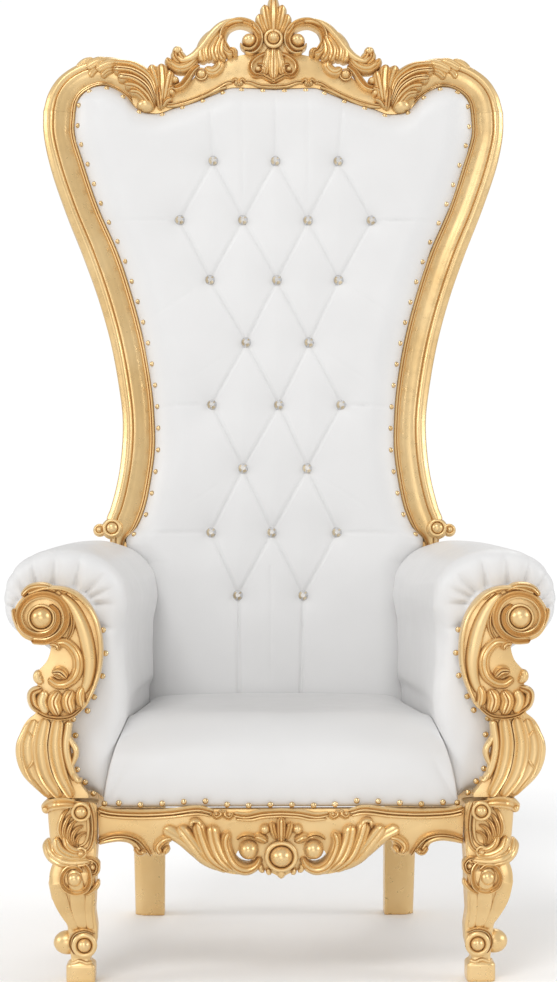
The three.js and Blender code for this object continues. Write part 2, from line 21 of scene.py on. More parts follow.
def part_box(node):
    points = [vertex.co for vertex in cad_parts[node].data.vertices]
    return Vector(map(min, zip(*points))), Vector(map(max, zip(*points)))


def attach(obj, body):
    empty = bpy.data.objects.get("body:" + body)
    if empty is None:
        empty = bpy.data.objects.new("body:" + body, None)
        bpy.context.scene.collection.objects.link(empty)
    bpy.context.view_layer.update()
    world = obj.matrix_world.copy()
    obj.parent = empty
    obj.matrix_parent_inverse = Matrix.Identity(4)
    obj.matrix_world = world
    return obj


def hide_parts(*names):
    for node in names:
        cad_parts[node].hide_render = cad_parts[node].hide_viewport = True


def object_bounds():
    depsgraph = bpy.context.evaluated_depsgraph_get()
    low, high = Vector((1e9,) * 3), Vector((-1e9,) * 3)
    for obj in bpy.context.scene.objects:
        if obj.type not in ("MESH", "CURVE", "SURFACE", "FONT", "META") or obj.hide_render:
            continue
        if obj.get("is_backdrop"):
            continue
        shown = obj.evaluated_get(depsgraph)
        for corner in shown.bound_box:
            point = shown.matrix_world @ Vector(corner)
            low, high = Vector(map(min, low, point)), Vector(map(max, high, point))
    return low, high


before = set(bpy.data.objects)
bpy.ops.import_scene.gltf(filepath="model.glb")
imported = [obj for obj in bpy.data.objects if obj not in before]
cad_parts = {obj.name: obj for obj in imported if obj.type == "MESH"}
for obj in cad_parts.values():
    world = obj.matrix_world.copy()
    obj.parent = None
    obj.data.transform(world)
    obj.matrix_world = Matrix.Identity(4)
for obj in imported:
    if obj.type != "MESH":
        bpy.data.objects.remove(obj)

logging.basicConfig(level=logging.INFO, format="%(name)s: %(message)s")
log = logging.getLogger("throne")

Point = tuple[float, float]
Path = Sequence[Point]
Depth = float | Callable[[float, float], float]
Color = tuple[float, float, float]
BMesh = bmesh.types.BMesh
Piece = bpy.types.Object
Material = bpy.types.Material
Socket = bpy.types.NodeSocket

MM = 0.001
RAKE = math.radians(9)
HINGE = Vector((0, 500, 290))
FOOT_BACK = 34            # how far the front foot's block reaches behind its middle
BOSS = 1437               # the height of the crest's boss, up the rake
CREST_JOINT = 1287        # where the crest rail meets the posts, up the rake
SPLINE_STEPS = 16         # fine steps between two points of a line
STROKE_STEP = 2.6         # the length of a stroke's rows
LONGEST_ROUND = 0.3       # the most of a stroke's length that a rounded tip may take
BLUNT = 0.12              # the share of its width that a stroke keeps at its very tip
TIP_RISE = 0.55           # the share of its rise that it keeps there
NEAR = 1e-3
LEG_INNER = 305.6         # the inner side of a front leg's block
BODY = "root"
SIDES = {"right": 1, "left": -1}


# ------------------------------------------------------------------ placing
def front_matrix() -> Matrix:
    """Returns the matrix from the front drawing frame (mm) to the row frame (m)."""
    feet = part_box("front_leg_right")[1].y - FOOT_BACK * MM
    return Matrix.Translation((0, feet, 0)) @ Matrix.Scale(MM, 4)


def back_matrix() -> Matrix:
    """Returns the matrix from the raked back's drawing frame (mm) to the row frame (m)."""
    return front_matrix() @ Matrix.Translation(HINGE) @ Matrix.Rotation(-RAKE, 4, "X")


# ------------------------------------------------------------------ lines
def smooth(points: Path, step: float = 3.0, steps: int | None = None) -> np.ndarray:
    """Samples a centripetal Catmull-Rom line in equal steps.

    Args:
        points: The (x, z) points that the line passes through.
        step: The length of a step, when steps isn't given.
        steps: The number of steps.

    Returns:
        An array of (x, z) rows, steps + 1 of them.
    """
    knots = np.array(points, dtype=float)
    first = 2 * knots[0] - knots[1]
    last = 2 * knots[-1] - knots[-2]
    p = np.vstack([first, knots, last])
    fine = []
    for i in range(1, len(p) - 2):
        a, b, c, d = p[i - 1], p[i], p[i + 1], p[i + 2]
        t1 = math.sqrt(np.linalg.norm(b - a))
        t2 = t1 + math.sqrt(np.linalg.norm(c - b))
        t3 = t2 + math.sqrt(np.linalg.norm(d - c))
        for t in np.linspace(t1, t2, SPLINE_STEPS, endpoint=False):
            ab = a * (t1 - t) / t1 + b * t / t1
            bc = b * (t2 - t) / (t2 - t1) + c * (t - t1) / (t2 - t1)
            cd = c * (t3 - t) / (t3 - t2) + d * (t - t2) / (t3 - t2)
            abc = ab * (t2 - t) / t2 + bc * t / t2
            bcd = bc * (t3 - t) / (t3 - t1) + cd * (t - t1) / (t3 - t1)
            fine.append(abc * (t2 - t) / (t2 - t1) + bcd * (t - t1) / (t2 - t1))
    fine.append(knots[-1])
    fine = np.array(fine)
    along = np.concatenate([[0], np.cumsum(np.linalg.norm(np.diff(fine, axis=0), axis=1))])
    count = steps or max(4, round(along[-1] / step))
    at = np.linspace(0, along[-1], count + 1)
    return np.column_stack([np.interp(at, along, fine[:, 0]), np.interp(at, along, fine[:, 1])])


# ------------------------------------------------------------------ the carver's sections
def reeds(count: int, depth: float = 0.22) -> tuple[Point, ...]:
    """Makes a crowned section cut into round reeds with sharp grooves between.

    Args:
        count: The number of reeds.
        depth: The depth of the grooves, as a share of the section's height.

    Returns:
        The section's (across, height) points.
    """
    steps = 4 * count
    section = []
    for i in range(steps + 1):
        s = -1 + 2 * i / steps
        rib = abs(math.sin(math.pi * count * (s + 1) / 2)) ** 0.5
        crown = 0.3 + 0.7 * (1 - abs(s) ** 2.2)
        section.append((s, crown * (1 - depth + depth * rib)))
    return tuple(section)


class Cut(Enum):
    """The cross-sections that the carver uses, as (across, height) shares."""

    ROLL = tuple((math.sin(a), 0.15 + 0.85 * math.cos(a)) for a in np.linspace(-1.5, 1.5, 9))
    LIP = ((-1, .35), (-.8, .8), (-.5, 1), (-.2, .85), (-.05, .45), (.1, .42), (.3, .7), (.6, .75),
           (.85, .5), (1, .2))
    COVE = ((-1, .55), (-.88, .95), (-.66, 1), (-.5, .82), (-.36, .5), (-.05, .4), (.25, .5),
            (.48, .78), (.66, .85), (.86, .7), (1, .35))
    BAND = ((-1, .1), (-.93, .6), (-.7, .88), (-.3, 1), (.3, 1), (.7, .88), (.93, .6), (1, .1))
    FLUTE = ((-1, .8), (-.9, 1), (-.78, .95), (-.55, .62), (-.2, .45), (.2, .45), (.55, .62),
             (.78, .95), (.9, 1), (1, .8))
    REED2 = reeds(2)
    REED3 = reeds(3)
    REED4 = reeds(4)


@dataclass(frozen=True)
class Stroke:
    """One shaped bar of the carving, along a line in the face plane.

    It is `width` to each side and stands `rise` proud of the face at its fullest. It narrows to the
    `start` and `end` shares of that, its tips are rounded, `lift` curls its end forwards, and its
    foot is sunk in the wood by `root`.
    """

    path: Path
    width: float
    rise: float
    cut: Cut = Cut.REED3
    start: float = 0.5
    end: float = 0.3
    face: Depth | None = None
    root: float = 8
    lift: float = 0


@dataclass(frozen=True)
class Ball:
    """A round swelling of the carving, with a flat ring round it where `ring` is above nought."""

    x: float
    z: float
    radius: float
    rise: float
    tall: float = 1
    ring: float = 0
    face: Depth | None = None


# ------------------------------------------------------------------ mesh helpers
def wrapped_grid(bm: BMesh, points: np.ndarray, closed: bool, ends: bool) -> list[bmesh.types.BMVert]:
    """Adds a grid with its vertices at the given places.

    Args:
        bm: The mesh to add to.
        points: An array (rows, columns, 3) of places.
        closed: Joins the last column to the first.
        ends: Closes the first and the last row with a face.

    Returns:
        The grid's vertices.
    """
    rows, columns = points.shape[:2]
    if closed:
        points = np.concatenate([points, points[:, :1]], axis=1)
    across = points.shape[1] - 1
    verts = bmesh.ops.create_grid(bm, x_segments=rows - 1, y_segments=across, size=0.5)["verts"]
    for vert in verts:
        row = round((vert.co.x + 0.5) * (rows - 1))
        column = round((vert.co.y + 0.5) * across)
        vert.co = points[row, column]
    if closed:
        bmesh.ops.remove_doubles(bm, verts=verts, dist=1e-4)
        verts = [v for v in verts if v.is_valid]
    if ends:
        edges = {e for v in verts for e in v.link_edges if e.is_boundary}
        bmesh.ops.holes_fill(bm, edges=list(edges), sides=0)
    return verts


class Carving:
    """A carved piece in the making: overlapping closed shapes in one mesh."""

    def __init__(self, face: Depth) -> None:
        """Starts an empty carving on a face at that depth (a number, or a function of x and z)."""
        self.bm = bmesh.new()
        self.face = face

    def depth(self, own: Depth | None, x: float, z: float) -> float:
        """Returns the depth of the face under a shape at (x, z)."""
        face = self.face if own is None else own
        return face(x, z) if callable(face) else face

    def stroke(self, s: Stroke) -> None:
        """Adds one stroke of the carving.

        Args:
            s: The stroke.
        """
        line = smooth(s.path, step=STROKE_STEP)
        rows = len(line)
        along = np.gradient(line, axis=0)
        along /= np.linalg.norm(along, axis=1)[:, None]
        aside = np.column_stack([-along[:, 1], along[:, 0]])
        length = np.linalg.norm(np.diff(line, axis=0), axis=1).sum()
        section = np.array(s.cut.value)
        points = np.zeros((rows, len(section) + 2, 3))
        round_start = min(LONGEST_ROUND, s.width * s.start / length)
        round_end = min(LONGEST_ROUND, s.width * s.end / length)
        for i, (x, z) in enumerate(line):
            t = i / (rows - 1)
            least = s.start + (s.end - s.start) * t
            full = least + (1 - least) * math.sin(math.pi * t) ** 0.8
            tip = 1.0
            if t < round_start:
                tip = math.sqrt(max(0, 1 - (1 - t / round_start) ** 2))
            if 1 - t < round_end:
                tip = math.sqrt(max(0, 1 - (1 - (1 - t) / round_end) ** 2))
            tip = max(tip, BLUNT)
            width = s.width * full * tip
            rise = s.rise * full ** 0.7 * (TIP_RISE + (1 - TIP_RISE) * tip)
            face = self.depth(s.face, x, z) - s.lift * t * t
            across = np.concatenate([[-1], section[:, 0], [1]])
            points[i, :, 0] = x + aside[i, 0] * across * width
            points[i, :, 2] = z + aside[i, 1] * across * width
            points[i, 1:-1, 1] = face - rise * section[:, 1]
            points[i, 0, 1] = points[i, -1, 1] = face + s.root
        wrapped_grid(self.bm, points, closed=True, ends=True)

    def ball(self, b: Ball) -> None:
        """Adds a round swelling, with its ring.

        Args:
            b: The swelling.
        """
        face = self.depth(b.face, b.x, b.z)
        size = Matrix.Diagonal((b.radius, b.rise, b.radius * b.tall, 1))
        shape = Matrix.Translation((b.x, face, b.z)) @ size @ Matrix.Rotation(math.pi / 2, 4, "X")
        bmesh.ops.create_uvsphere(self.bm, u_segments=20, v_segments=12, radius=1, matrix=shape)
        if b.ring > 0:
            turn = np.linspace(0, math.tau, 28, endpoint=False)
            middle = b.radius + 0.8 * b.ring
            roll = np.linspace(0, math.tau, 10, endpoint=False)
            reach = middle + b.ring * np.cos(roll)[None, :]
            points = np.stack([
                b.x + np.cos(turn)[:, None] * reach,
                np.repeat((face - b.rise * 0.35 + b.ring * 1.1 * np.sin(roll))[None, :], len(turn), axis=0),
                b.z + b.tall * np.sin(turn)[:, None] * reach,
            ], axis=2)
            points = np.concatenate([points, points[:1]], axis=0)
            verts = wrapped_grid(self.bm, points, closed=True, ends=False)
            bmesh.ops.remove_doubles(self.bm, verts=verts, dist=1e-4)

    def board(self, outline: Path, front: float, back: float, holes: Sequence[Path] = (),
              bevel: float = 2.0) -> None:
        """Adds a flat board, its front edges rounded. A side on the middle line stays open.

        Args:
            outline: The board's (x, z) outline.
            front: The depth of its front.
            back: The depth of its back.
            holes: The outlines of its holes.
            bevel: The size of the rounding.
        """
        shape = bmesh.new()
        edges = []
        for loop in (outline, *holes):
            verts = [shape.verts.new((x, front, z)) for x, z in loop]
            edges += [shape.edges.new((a, b)) for a, b in zip(verts, verts[1:] + verts[:1])]
        bmesh.ops.triangle_fill(shape, edges=edges, use_beauty=True, use_dissolve=False, normal=(0, -1, 0))
        bmesh.ops.recalc_face_normals(shape, faces=shape.faces)
        out = bmesh.ops.extrude_face_region(shape, geom=list(shape.faces), use_keep_orig=True)
        moved = [v for v in out["geom"] if isinstance(v, bmesh.types.BMVert)]
        bmesh.ops.translate(shape, verts=moved, vec=(0, back - front, 0))
        bmesh.ops.recalc_face_normals(shape, faces=shape.faces)
        inner = [f for f in shape.faces if all(abs(v.co.x) < NEAR for v in f.verts)]
        bmesh.ops.delete(shape, geom=inner, context="FACES")
        rim = [e for e in shape.edges if all(abs(v.co.y - front) < NEAR for v in e.verts)
               and e.calc_face_angle(0) > 0.5]
        bmesh.ops.bevel(shape, geom=rim, offset=bevel, segments=3, profile=0.5, affect="EDGES",
                        material=-1, clamp_overlap=True)
        self.join(shape)

    def join(self, other: BMesh) -> None:
        """Adds another mesh to the carving and frees it.

        Args:
            other: The mesh.
        """
        data = bpy.data.meshes.new("part")
        other.to_mesh(data)
        other.free()
        self.bm.from_mesh(data)
        bpy.data.meshes.remove(data)

    def add(self, *shapes: Stroke | Ball) -> None:
        """Adds strokes and balls.

        Args:
            shapes: The shapes, in order.
        """
        for shape in shapes:
            if isinstance(shape, Ball):
                self.ball(shape)
            else:
                self.stroke(shape)

    def mirror(self) -> None:
        """Adds the mirror image, for the other half."""
        bmesh.ops.mirror(self.bm, geom=self.bm.verts[:] + self.bm.edges[:] + self.bm.faces[:], axis="X",
                         matrix=Matrix.Identity(4), merge_dist=1e-5)


def make(name: str, bm: BMesh, matrix: Matrix, material: Material,
         replaces: Sequence[str] = (), sharp: float = 40, flip: bool = False) -> Piece:
    """Turns a mesh into a finished piece of the throne.

    Args:
        name: The piece's name.
        bm: The mesh in its drawing frame; it is freed.
        matrix: From the drawing frame to the row frame.
        material: The finish.
        replaces: The solids that the piece stands for.
        sharp: Edges sharper than this angle in degrees are shaded sharp.
        flip: Mirrors the piece to the other side.

    Returns:
        The piece, riding the body.
    """
    if flip:
        bmesh.ops.scale(bm, verts=bm.verts, vec=(-1, 1, 1))
    bmesh.ops.transform(bm, verts=bm.verts, matrix=matrix)
    bmesh.ops.recalc_face_normals(bm, faces=bm.faces)
    for face in bm.faces:
        face.smooth = True
    for edge in bm.edges:
        edge.smooth = edge.calc_face_angle(0) < math.radians(sharp)
    mesh = bpy.data.meshes.new(name)
    bm.to_mesh(mesh)
    bm.free()
    piece = bpy.data.objects.new(name, mesh)
    bpy.context.collection.objects.link(piece)
    mesh.materials.append(material)
    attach(piece, BODY)
    if replaces:
        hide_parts(*replaces)
    log.info("%s: %d faces", name, len(mesh.polygons))
    return piece


# ------------------------------------------------------------------ finishes
class Nodes:
    """A short way to wire a material's nodes."""

    def __init__(self, name: str) -> None:
        """Starts a material with a Principled shader.

        Args:
            name: The material's name.
        """
        self.material = bpy.data.materials.new(name)
        self.material.use_nodes = True
        self.tree = self.material.node_tree
        self.shader = self.tree.nodes["Principled BSDF"]

    def node(self, kind: str, values: dict[str, object] | None = None,
             **settings: object) -> bpy.types.Node:
        """Adds a node.

        Args:
            kind: The node's type.
            values: What its inputs are set to.
            settings: Its properties.

        Returns:
            The node.
        """
        made = self.tree.nodes.new(kind)
        for key, value in settings.items():
            setattr(made, key, value)
        for key, value in (values or {}).items():
            made.inputs[key].default_value = value
        return made

    def link(self, source: Socket, target: Socket) -> None:
        """Links two sockets."""
        self.tree.links.new(source, target)

    def noise(self, scale: float, detail: float = 3, rough: float = 0.5) -> Socket:
        """Adds a noise over the object's own coordinates.

        Args:
            scale: The noise's scale.
            detail: Its detail.
            rough: Its roughness.

        Returns:
            The noise's value.
        """
        coords = self.node("ShaderNodeTexCoord")
        noise = self.node("ShaderNodeTexNoise", {"Scale": scale, "Detail": detail, "Roughness": rough})
        self.link(coords.outputs["Object"], noise.inputs["Vector"])
        return noise.outputs["Fac"]

    def ramp(self, source: Socket, stops: Sequence[tuple[float, Sequence[float]]]) -> Socket:
        """Adds a colour ramp.

        Args:
            source: The value that it reads.
            stops: Its stops, each a place and a colour.

        Returns:
            The ramp's colour.
        """
        ramp = self.node("ShaderNodeValToRGB")
        while len(ramp.color_ramp.elements) < len(stops):
            ramp.color_ramp.elements.new(0.5)
        for element, (position, color) in zip(ramp.color_ramp.elements, stops):
            element.position = position
            element.color = (*color, 1)
        self.link(source, ramp.inputs["Fac"])
        return ramp.outputs["Color"]

    def tint(self, scale: float, detail: float, dark: Color, light: Color) -> Socket:
        """Adds soft clouds between two colours.

        Args:
            scale: The scale of the clouds.
            detail: Their detail.
            dark: The darker colour.
            light: The lighter colour.

        Returns:
            The colour.
        """
        return self.ramp(self.noise(scale, detail), ((0.35, dark), (0.65, light)))

    def satin(self, scale: float, detail: float, low: float, high: float) -> None:
        """Varies the shader's roughness softly.

        Args:
            scale: The scale of the clouds.
            detail: Their detail.
            low: The least roughness.
            high: The most.
        """
        rough = self.ramp(self.noise(scale, detail), ((0.3, (low,) * 3), (0.7, (high,) * 3)))
        self.link(rough, self.shader.inputs["Roughness"])

    def multiply(self, a: Socket, b: Socket) -> Socket:
        """Multiplies two colours.

        Args:
            a: The first colour.
            b: The second colour.

        Returns:
            Their product.
        """
        mix = self.node("ShaderNodeMix", {"Factor": 1.0}, data_type="RGBA", blend_type="MULTIPLY")
        self.link(a, mix.inputs["A"])
        self.link(b, mix.inputs["B"])
        return mix.outputs["Result"]

    def bump(self, height: Socket, strength: float, distance: float) -> None:
        """Adds a bump to the shader.

        Args:
            height: The height that it follows.
            strength: Its strength.
            distance: The height's reach in metres.
        """
        bump = self.node("ShaderNodeBump", {"Strength": strength, "Distance": distance})
        self.link(height, bump.inputs["Height"])
        self.link(bump.outputs["Normal"], self.shader.inputs["Normal"])


@dataclass(frozen=True)
class Gilding:
    """Satin gold paint over carved wood, with painted shade (an ambient-occlusion mask) browning and
    darkening its recesses.
    """

    name: str = "gilt_wood"
    light: Color = (0.80, 0.575, 0.285)
    dark: Color = (0.73, 0.495, 0.22)
    # painted shade: the colour that the recesses darken to, and the reach of the occlusion that finds them
    recess_painted_shade: Color = (0.80, 0.68, 0.52)
    reach: float = 0.008
    metallic: float = 0.6
    roughness: float = 0.30
    cloud: float = 7
    satin: float = 60

    def build(self) -> Material:
        """Builds the finish.

        Returns:
            The material.
        """
        nodes = Nodes(self.name)
        base = nodes.tint(self.cloud, 4, self.dark, self.light)
        # Painted shade: an ambient-occlusion mask darkens the gold's base colour in the hollows and crevices
        # of the carving.
        painted_shade_ao = nodes.node("ShaderNodeAmbientOcclusion", {"Distance": self.reach}, samples=8)
        painted_shade = nodes.ramp(painted_shade_ao.outputs["AO"], ((0.2, self.recess_painted_shade), (0.8, (1, 1, 1))))
        nodes.link(nodes.multiply(base, painted_shade), nodes.shader.inputs["Base Color"])
        nodes.satin(self.satin, 3, self.roughness - 0.05, self.roughness + 0.08)
        nodes.shader.inputs["Metallic"].default_value = self.metallic
        return nodes.material


@dataclass(frozen=True)
class Leatherette:
    """Soft white coated fabric with a fine pebbled grain."""

    name: str = "white_leatherette"
    light: Color = (0.71, 0.705, 0.70)
    dark: Color = (0.69, 0.685, 0.68)
    roughness: float = 0.42
    cloud: float = 9
    satin: float = 30
    grain: float = 620

    def build(self) -> Material:
        """Builds the finish.

        Returns:
            The material.
        """
        nodes = Nodes(self.name)
        base = nodes.ramp(nodes.noise(self.cloud, 3), ((0.3, self.dark), (0.7, self.light)))
        nodes.link(base, nodes.shader.inputs["Base Color"])
        coords = nodes.node("ShaderNodeTexCoord")
        grain = nodes.node("ShaderNodeTexVoronoi", {"Scale": self.grain}, feature="SMOOTH_F1")
        nodes.link(coords.outputs["Object"], grain.inputs["Vector"])
        nodes.satin(self.satin, 2, self.roughness, self.roughness + 0.1)
        nodes.bump(grain.outputs["Distance"], 0.10, 0.0006)
        return nodes.material


@dataclass(frozen=True)
class Crystal:
    """Clear cut glass of the buttons."""

    name: str = "crystal"
    light: Color = (0.98, 0.98, 0.99)
    dark: Color = (0.86, 0.87, 0.89)
    cloud: float = 300

    def build(self) -> Material:
        """Builds the finish.

        Returns:
            The material.
        """
        nodes = Nodes(self.name)
        tint = nodes.tint(self.cloud, 2, self.dark, self.light)
        nodes.link(tint, nodes.shader.inputs["Base Color"])
        nodes.shader.inputs["Roughness"].default_value = 0.03
        nodes.shader.inputs["Transmission Weight"].default_value = 0.5
        nodes.shader.inputs["IOR"].default_value = 1.55
        return nodes.material


@dataclass(frozen=True)
class Metal:
    """Polished metal of the nail heads and button rims, a little tarnished."""

    name: str
    light: Color
    dark: Color
    roughness: float = 0.22
    cloud: float = 40
    satin: float = 160

    def build(self) -> Material:
        """Builds the finish.

        Returns:
            The material.
        """
        nodes = Nodes(self.name)
        base = nodes.tint(self.cloud, 3, self.dark, self.light)
        nodes.link(base, nodes.shader.inputs["Base Color"])
        nodes.shader.inputs["Metallic"].default_value = 0.95
        nodes.satin(self.satin, 2, self.roughness - 0.06, self.roughness + 0.08)
        return nodes.material


@dataclass(frozen=True)
class Finishes:
    """Every finish of the throne."""

    gilt: Material
    leather: Material
    glass: Material
    brass: Material
    silver: Material

    @classmethod
    def build(cls) -> "Finishes":
        """Builds every finish.

        Returns:
            The finishes.
        """
        return cls(
            gilt=Gilding().build(),
            leather=Leatherette().build(),
            glass=Crystal().build(),
            brass=Metal("brass_nail", (0.80, 0.60, 0.34), (0.58, 0.40, 0.19)).build(),
            silver=Metal("silver_rim", (0.82, 0.70, 0.50), (0.52, 0.42, 0.28)).build(),
        )


# ------------------------------------------------------------------ the back's shared lines
CREST_LOWER: Path = (
    (0, -101), (46, -99), (86, -99), (112, -110), (149, -125), (195, -140), (230, -152), (262, -146),
    (278, -134), (292, -116), (312, -102), (334, -95), (356, -98), (377, -112), (390, -134), (391, -150))
POST_INNER: Path = (
    (391, 1287), (392, 1245), (374, 1183), (343, 1091), (304, 1000), (275, 910), (252, 820), (237, 730),
    (232, 671), (231, 613), (238, 554), (250, 496), (267, 457), (286, 438), (292, 414))
POST_OUTER: Path = (
    (454, 1287), (453, 1245), (441, 1183), (410, 1091), (374, 1000), (342, 910), (317, 820), (300, 730),
    (293, 671), (294, 613), (301, 554), (315, 496), (322, 476), (312, 437), (308, 414))
MOULDING = (
    (0, 14), (0.03, 18), (0.07, 19.5), (0.10, 20.5), (0.15, 23.5), (0.21, 24), (0.27, 22), (0.31, 18.5),
    (0.33, 17), (0.355, 19.5), (0.38, 19.7), (0.42, 18), (0.52, 16.2), (0.62, 15.5), (0.72, 12),
    (0.80, 8), (0.84, 6.8), (0.865, 9), (0.89, 9.2), (0.91, 7), (0.935, 10), (0.96, 10.2), (1, 7.5))
BACK_BOARD = 32           # how far the crest and the mouldings reach behind the back's face


def leg_slope(x: float, start: float) -> float:
    """Returns the height at x of a slope that is at `start` over a leg's inner side."""
    return start + 0.8 * (x - LEG_INNER)


class Moulding:
    """The frame's running moulding between an outer and an inner edge."""

    def __init__(self, outer: Path, inner: Path, rows: int) -> None:
        """Keeps the two edges, each sampled in the same number of rows."""
        self.outer = smooth(outer, steps=rows)
        self.inner = smooth(inner, steps=rows)

    def build(self, bm: BMesh) -> None:
        """Adds the moulding to a mesh.

        Args:
            bm: The mesh.
        """
        section = np.array([(0, -BACK_BOARD + 3), (0.0, 8), *MOULDING, (1, 0), (1, -BACK_BOARD)])
        section = np.vstack([(0.02, -BACK_BOARD), section])
        share = section[:, 0][None, :]
        x = self.outer[:, :1] * (1 - share) + self.inner[:, :1] * share
        z = self.outer[:, 1:] * (1 - share) + self.inner[:, 1:] * share
        y = np.repeat(-section[:, 1][None, :], len(x), axis=0)
        wrapped_grid(bm, np.stack([x, y, z], axis=2), closed=True, ends=True)


# ------------------------------------------------------------------ crest rail
R2, R3, R4 = Cut.REED2, Cut.REED3, Cut.REED4
ROLL, LIP, COVE, FLUTE, BAND = Cut.ROLL, Cut.LIP, Cut.COVE, Cut.FLUTE, Cut.BAND


@dataclass(frozen=True)
class CrestRail:
    """The carved top rail: boss with palmette, C-scrolls, acanthus leaves and the two ears."""

    face: float = -10
    finial_back: float = 4
    board_end: float = 278
    board_edge: Path = (
        (0, -20), (30, -25), (60, -30), (88, -38), (106, -56), (125, -67), (146, -67), (165, -86),
        (186, -100), (212, -106), (240, -100), (262, -80), (290, -75))
    finial_plate: Path = (
        (0, 84), (7, 66), (17, 72), (24, 64), (26, 52), (34, 50), (36, 38), (42, 30), (31, 10),
        (24, -6), (40, -20), (34, -30), (0.1, -32))
    ear_outer: Path = ((257, -62), (289, -46), (332, -37), (384, -52), (423, -79), (444, -112), (454, -149.9))
    ear_inner: Path = (
        (268, -150), (288, -122), (331, -94), (352, -96), (378, -112), (388, -130), (391, -149.9))
    finial: tuple[Stroke, ...] = (
        Stroke(((18, 4), (31, 20), (40, 34)), 8.5, 14, R2, .4, .9, lift=3),
        Stroke(((14, 8), (24, 30), (29, 50)), 10, 18, R2, .4, .95, lift=4),
        Stroke(((8, 14), (14, 44), (18, 68)), 11, 22, R2, .4, .95, lift=5),
    )
    drop: tuple[Stroke, ...] = (
        Stroke(((9, -16), (14, -46), (20, -74)), 9.5, 9, R3, .4, .9),
        Stroke(((16, -28), (33, -36), (45, -49), (46, -65), (36, -76), (23, -73), (17, -62), (22, -52),
                (33, -51)), 4.4, 13, COVE, .8, .6),
        Stroke(((34, -79), (24, -75), (14, -80), (-4, -90)), 4.5, 13, LIP, .5, 1),
    )
    scroll: tuple[Stroke, ...] = (
        Stroke(((86, -28), (100, -4), (93, 21), (71, 33), (46, 28), (31, 11), (29, -10), (40, -25),
                (58, -24)), 9, 20, COVE, .7, .5),
        Stroke(((66, -8), (60, -19), (46, -23), (35, -15), (32, -2), (38, 10)), 3.5, 21, ROLL, .5, .5),
        Stroke(((88, -20), (78, -24), (76, -36)), 7, 17, R2, .6, .5),
    )
    acanthus: tuple[Stroke, ...] = (
        Stroke(((58, 37), (82, 36), (104, 26), (124, 5), (141, -18), (160, -38), (180, -45), (197, -37)),
               10, 20, ROLL, .5, .7),
        Stroke(((106, 22), (130, -1), (141, -24), (138, -50)), 13, 20, R2, .4, .9, lift=2),
        Stroke(((104, 16), (122, -8), (130, -26), (127, -47)), 11, 21, R2, .4, .9, lift=3),
        Stroke(((102, 10), (114, -12), (118, -30), (112, -48)), 11, 22, R2, .4, .9, lift=4),
        Stroke(((100, 4), (106, -16), (106, -32), (97, -46)), 10, 21, R2, .4, .9, lift=3),
        Stroke(((98, -4), (98, -20), (90, -30), (80, -31)), 9, 17, R2, .5, .9, lift=2),
        Stroke(((172, -46), (181, -38), (186, -27)), 9, 22, R2, .6, .9),
        Stroke(((184, -52), (194, -42), (197, -26)), 8, 22, R2, .6, .9),
        Stroke(((150, -38), (172, -58), (190, -60), (210, -46)), 12, 17, R3, .4, .9, lift=2),
        Stroke(((196, -56), (206, -50), (211, -40)), 8, 20, R2, .5, .7, lift=2),
        Stroke(((110, -38), (108, -56), (121, -67), (136, -60)), 11, 15, R3, .6, .9, lift=2),
        Stroke(((146, -54), (160, -66), (172, -84), (184, -98), (198, -101), (207, -91)),
               7, 18, COVE, .6, .6),
    )
    lip: tuple[Stroke, ...] = (
        Stroke(((214, -134), (205, -136), (177, -130), (145, -118), (114, -102), (92, -89), (80, -88)),
               5, 10, LIP, .8, .9),
        Stroke(((60, -87), (46, -88), (26, -95), (-6, -97)), 5, 10, LIP, .8, 1),
        Stroke(((84, -88), (76, -82), (70, -88), (74, -96)), 5, 12, R2, .8, .7),
        Stroke(((54, -88), (62, -82), (68, -88), (64, -96)), 5, 12, R2, .8, .7),
        Stroke(((212, -139), (180, -136), (150, -124), (118, -108), (92, -98)), 3, 8, ROLL, .8, .8),
    )
    crown: tuple[Stroke, ...] = (
        Stroke(((226, -134), (231, -92), (242, -56)), 15, 21, R3, .35, .95, lift=4),
        Stroke(((217, -134), (211, -98), (204, -68)), 13, 22, R3, .35, .95, lift=4),
        Stroke(((221, -134), (219, -92), (222, -55)), 14, 25, R3, .35, .95, lift=5),
        Stroke(((219, -130), (211, -108), (196, -101)), 6, 20, R2, .4, .9, lift=3),
        Stroke(((221, -142), (211, -128), (199, -124)), 6, 18, R2, .4, .9, lift=3),
        Stroke(((223, -146), (226, -120), (228, -92)), 8, 28, R2, .6, .4),
    )
    ear_leaves: tuple[Stroke, ...] = (
        Stroke(((228, -126), (244, -84), (276, -60), (314, -54)), 11, 18, R3, .3, .8, face=-18, lift=3),
        Stroke(((230, -132), (248, -92), (278, -72), (316, -67)), 12, 23, R4, .3, .9, face=-16, lift=5),
        Stroke(((233, -137), (251, -104), (278, -86), (308, -82)), 12, 24, R4, .3, .9, face=-14, lift=5),
        Stroke(((236, -141), (252, -116), (272, -101), (294, -98)), 10, 22, R3, .3, .9, face=-13, lift=4),
        Stroke(((240, -146), (252, -128), (266, -114), (284, -111)), 9, 19, R3, .3, .9, face=-12, lift=3),
        Stroke(((300, -50), (326, -54), (350, -66)), 11, 9, R3, .4, .8, face=-18, lift=3),
        Stroke(((330, -44), (350, -50), (370, -62)), 10, 8, R3, .4, .8, face=-18, lift=2),
        Stroke(((356, -42), (374, -50), (388, -62)), 7, 6, R2, .4, .8, face=-18, lift=1),
        Stroke(((312, -64), (328, -68), (340, -80)), 9, 12, R3, .4, .8, face=-15, lift=3),
        Stroke(((344, -62), (356, -68), (362, -80)), 7, 9, R2, .4, .8, face=-15, lift=2),
    )
    balls: tuple[Ball, ...] = (
        Ball(48, -3, 15, 23), Ball(31, -62, 6.5, 15), Ball(190, -26, 11, 22),
        Ball(143, -72, 10, 17, ring=1.6), Ball(195, -86, 9, 20), Ball(202, -111, 8, 18),
        Ball(252, -137, 19, 20, tall=.8), Ball(74, -91, 4, 14), Ball(64, -91, 4, 14),
    )

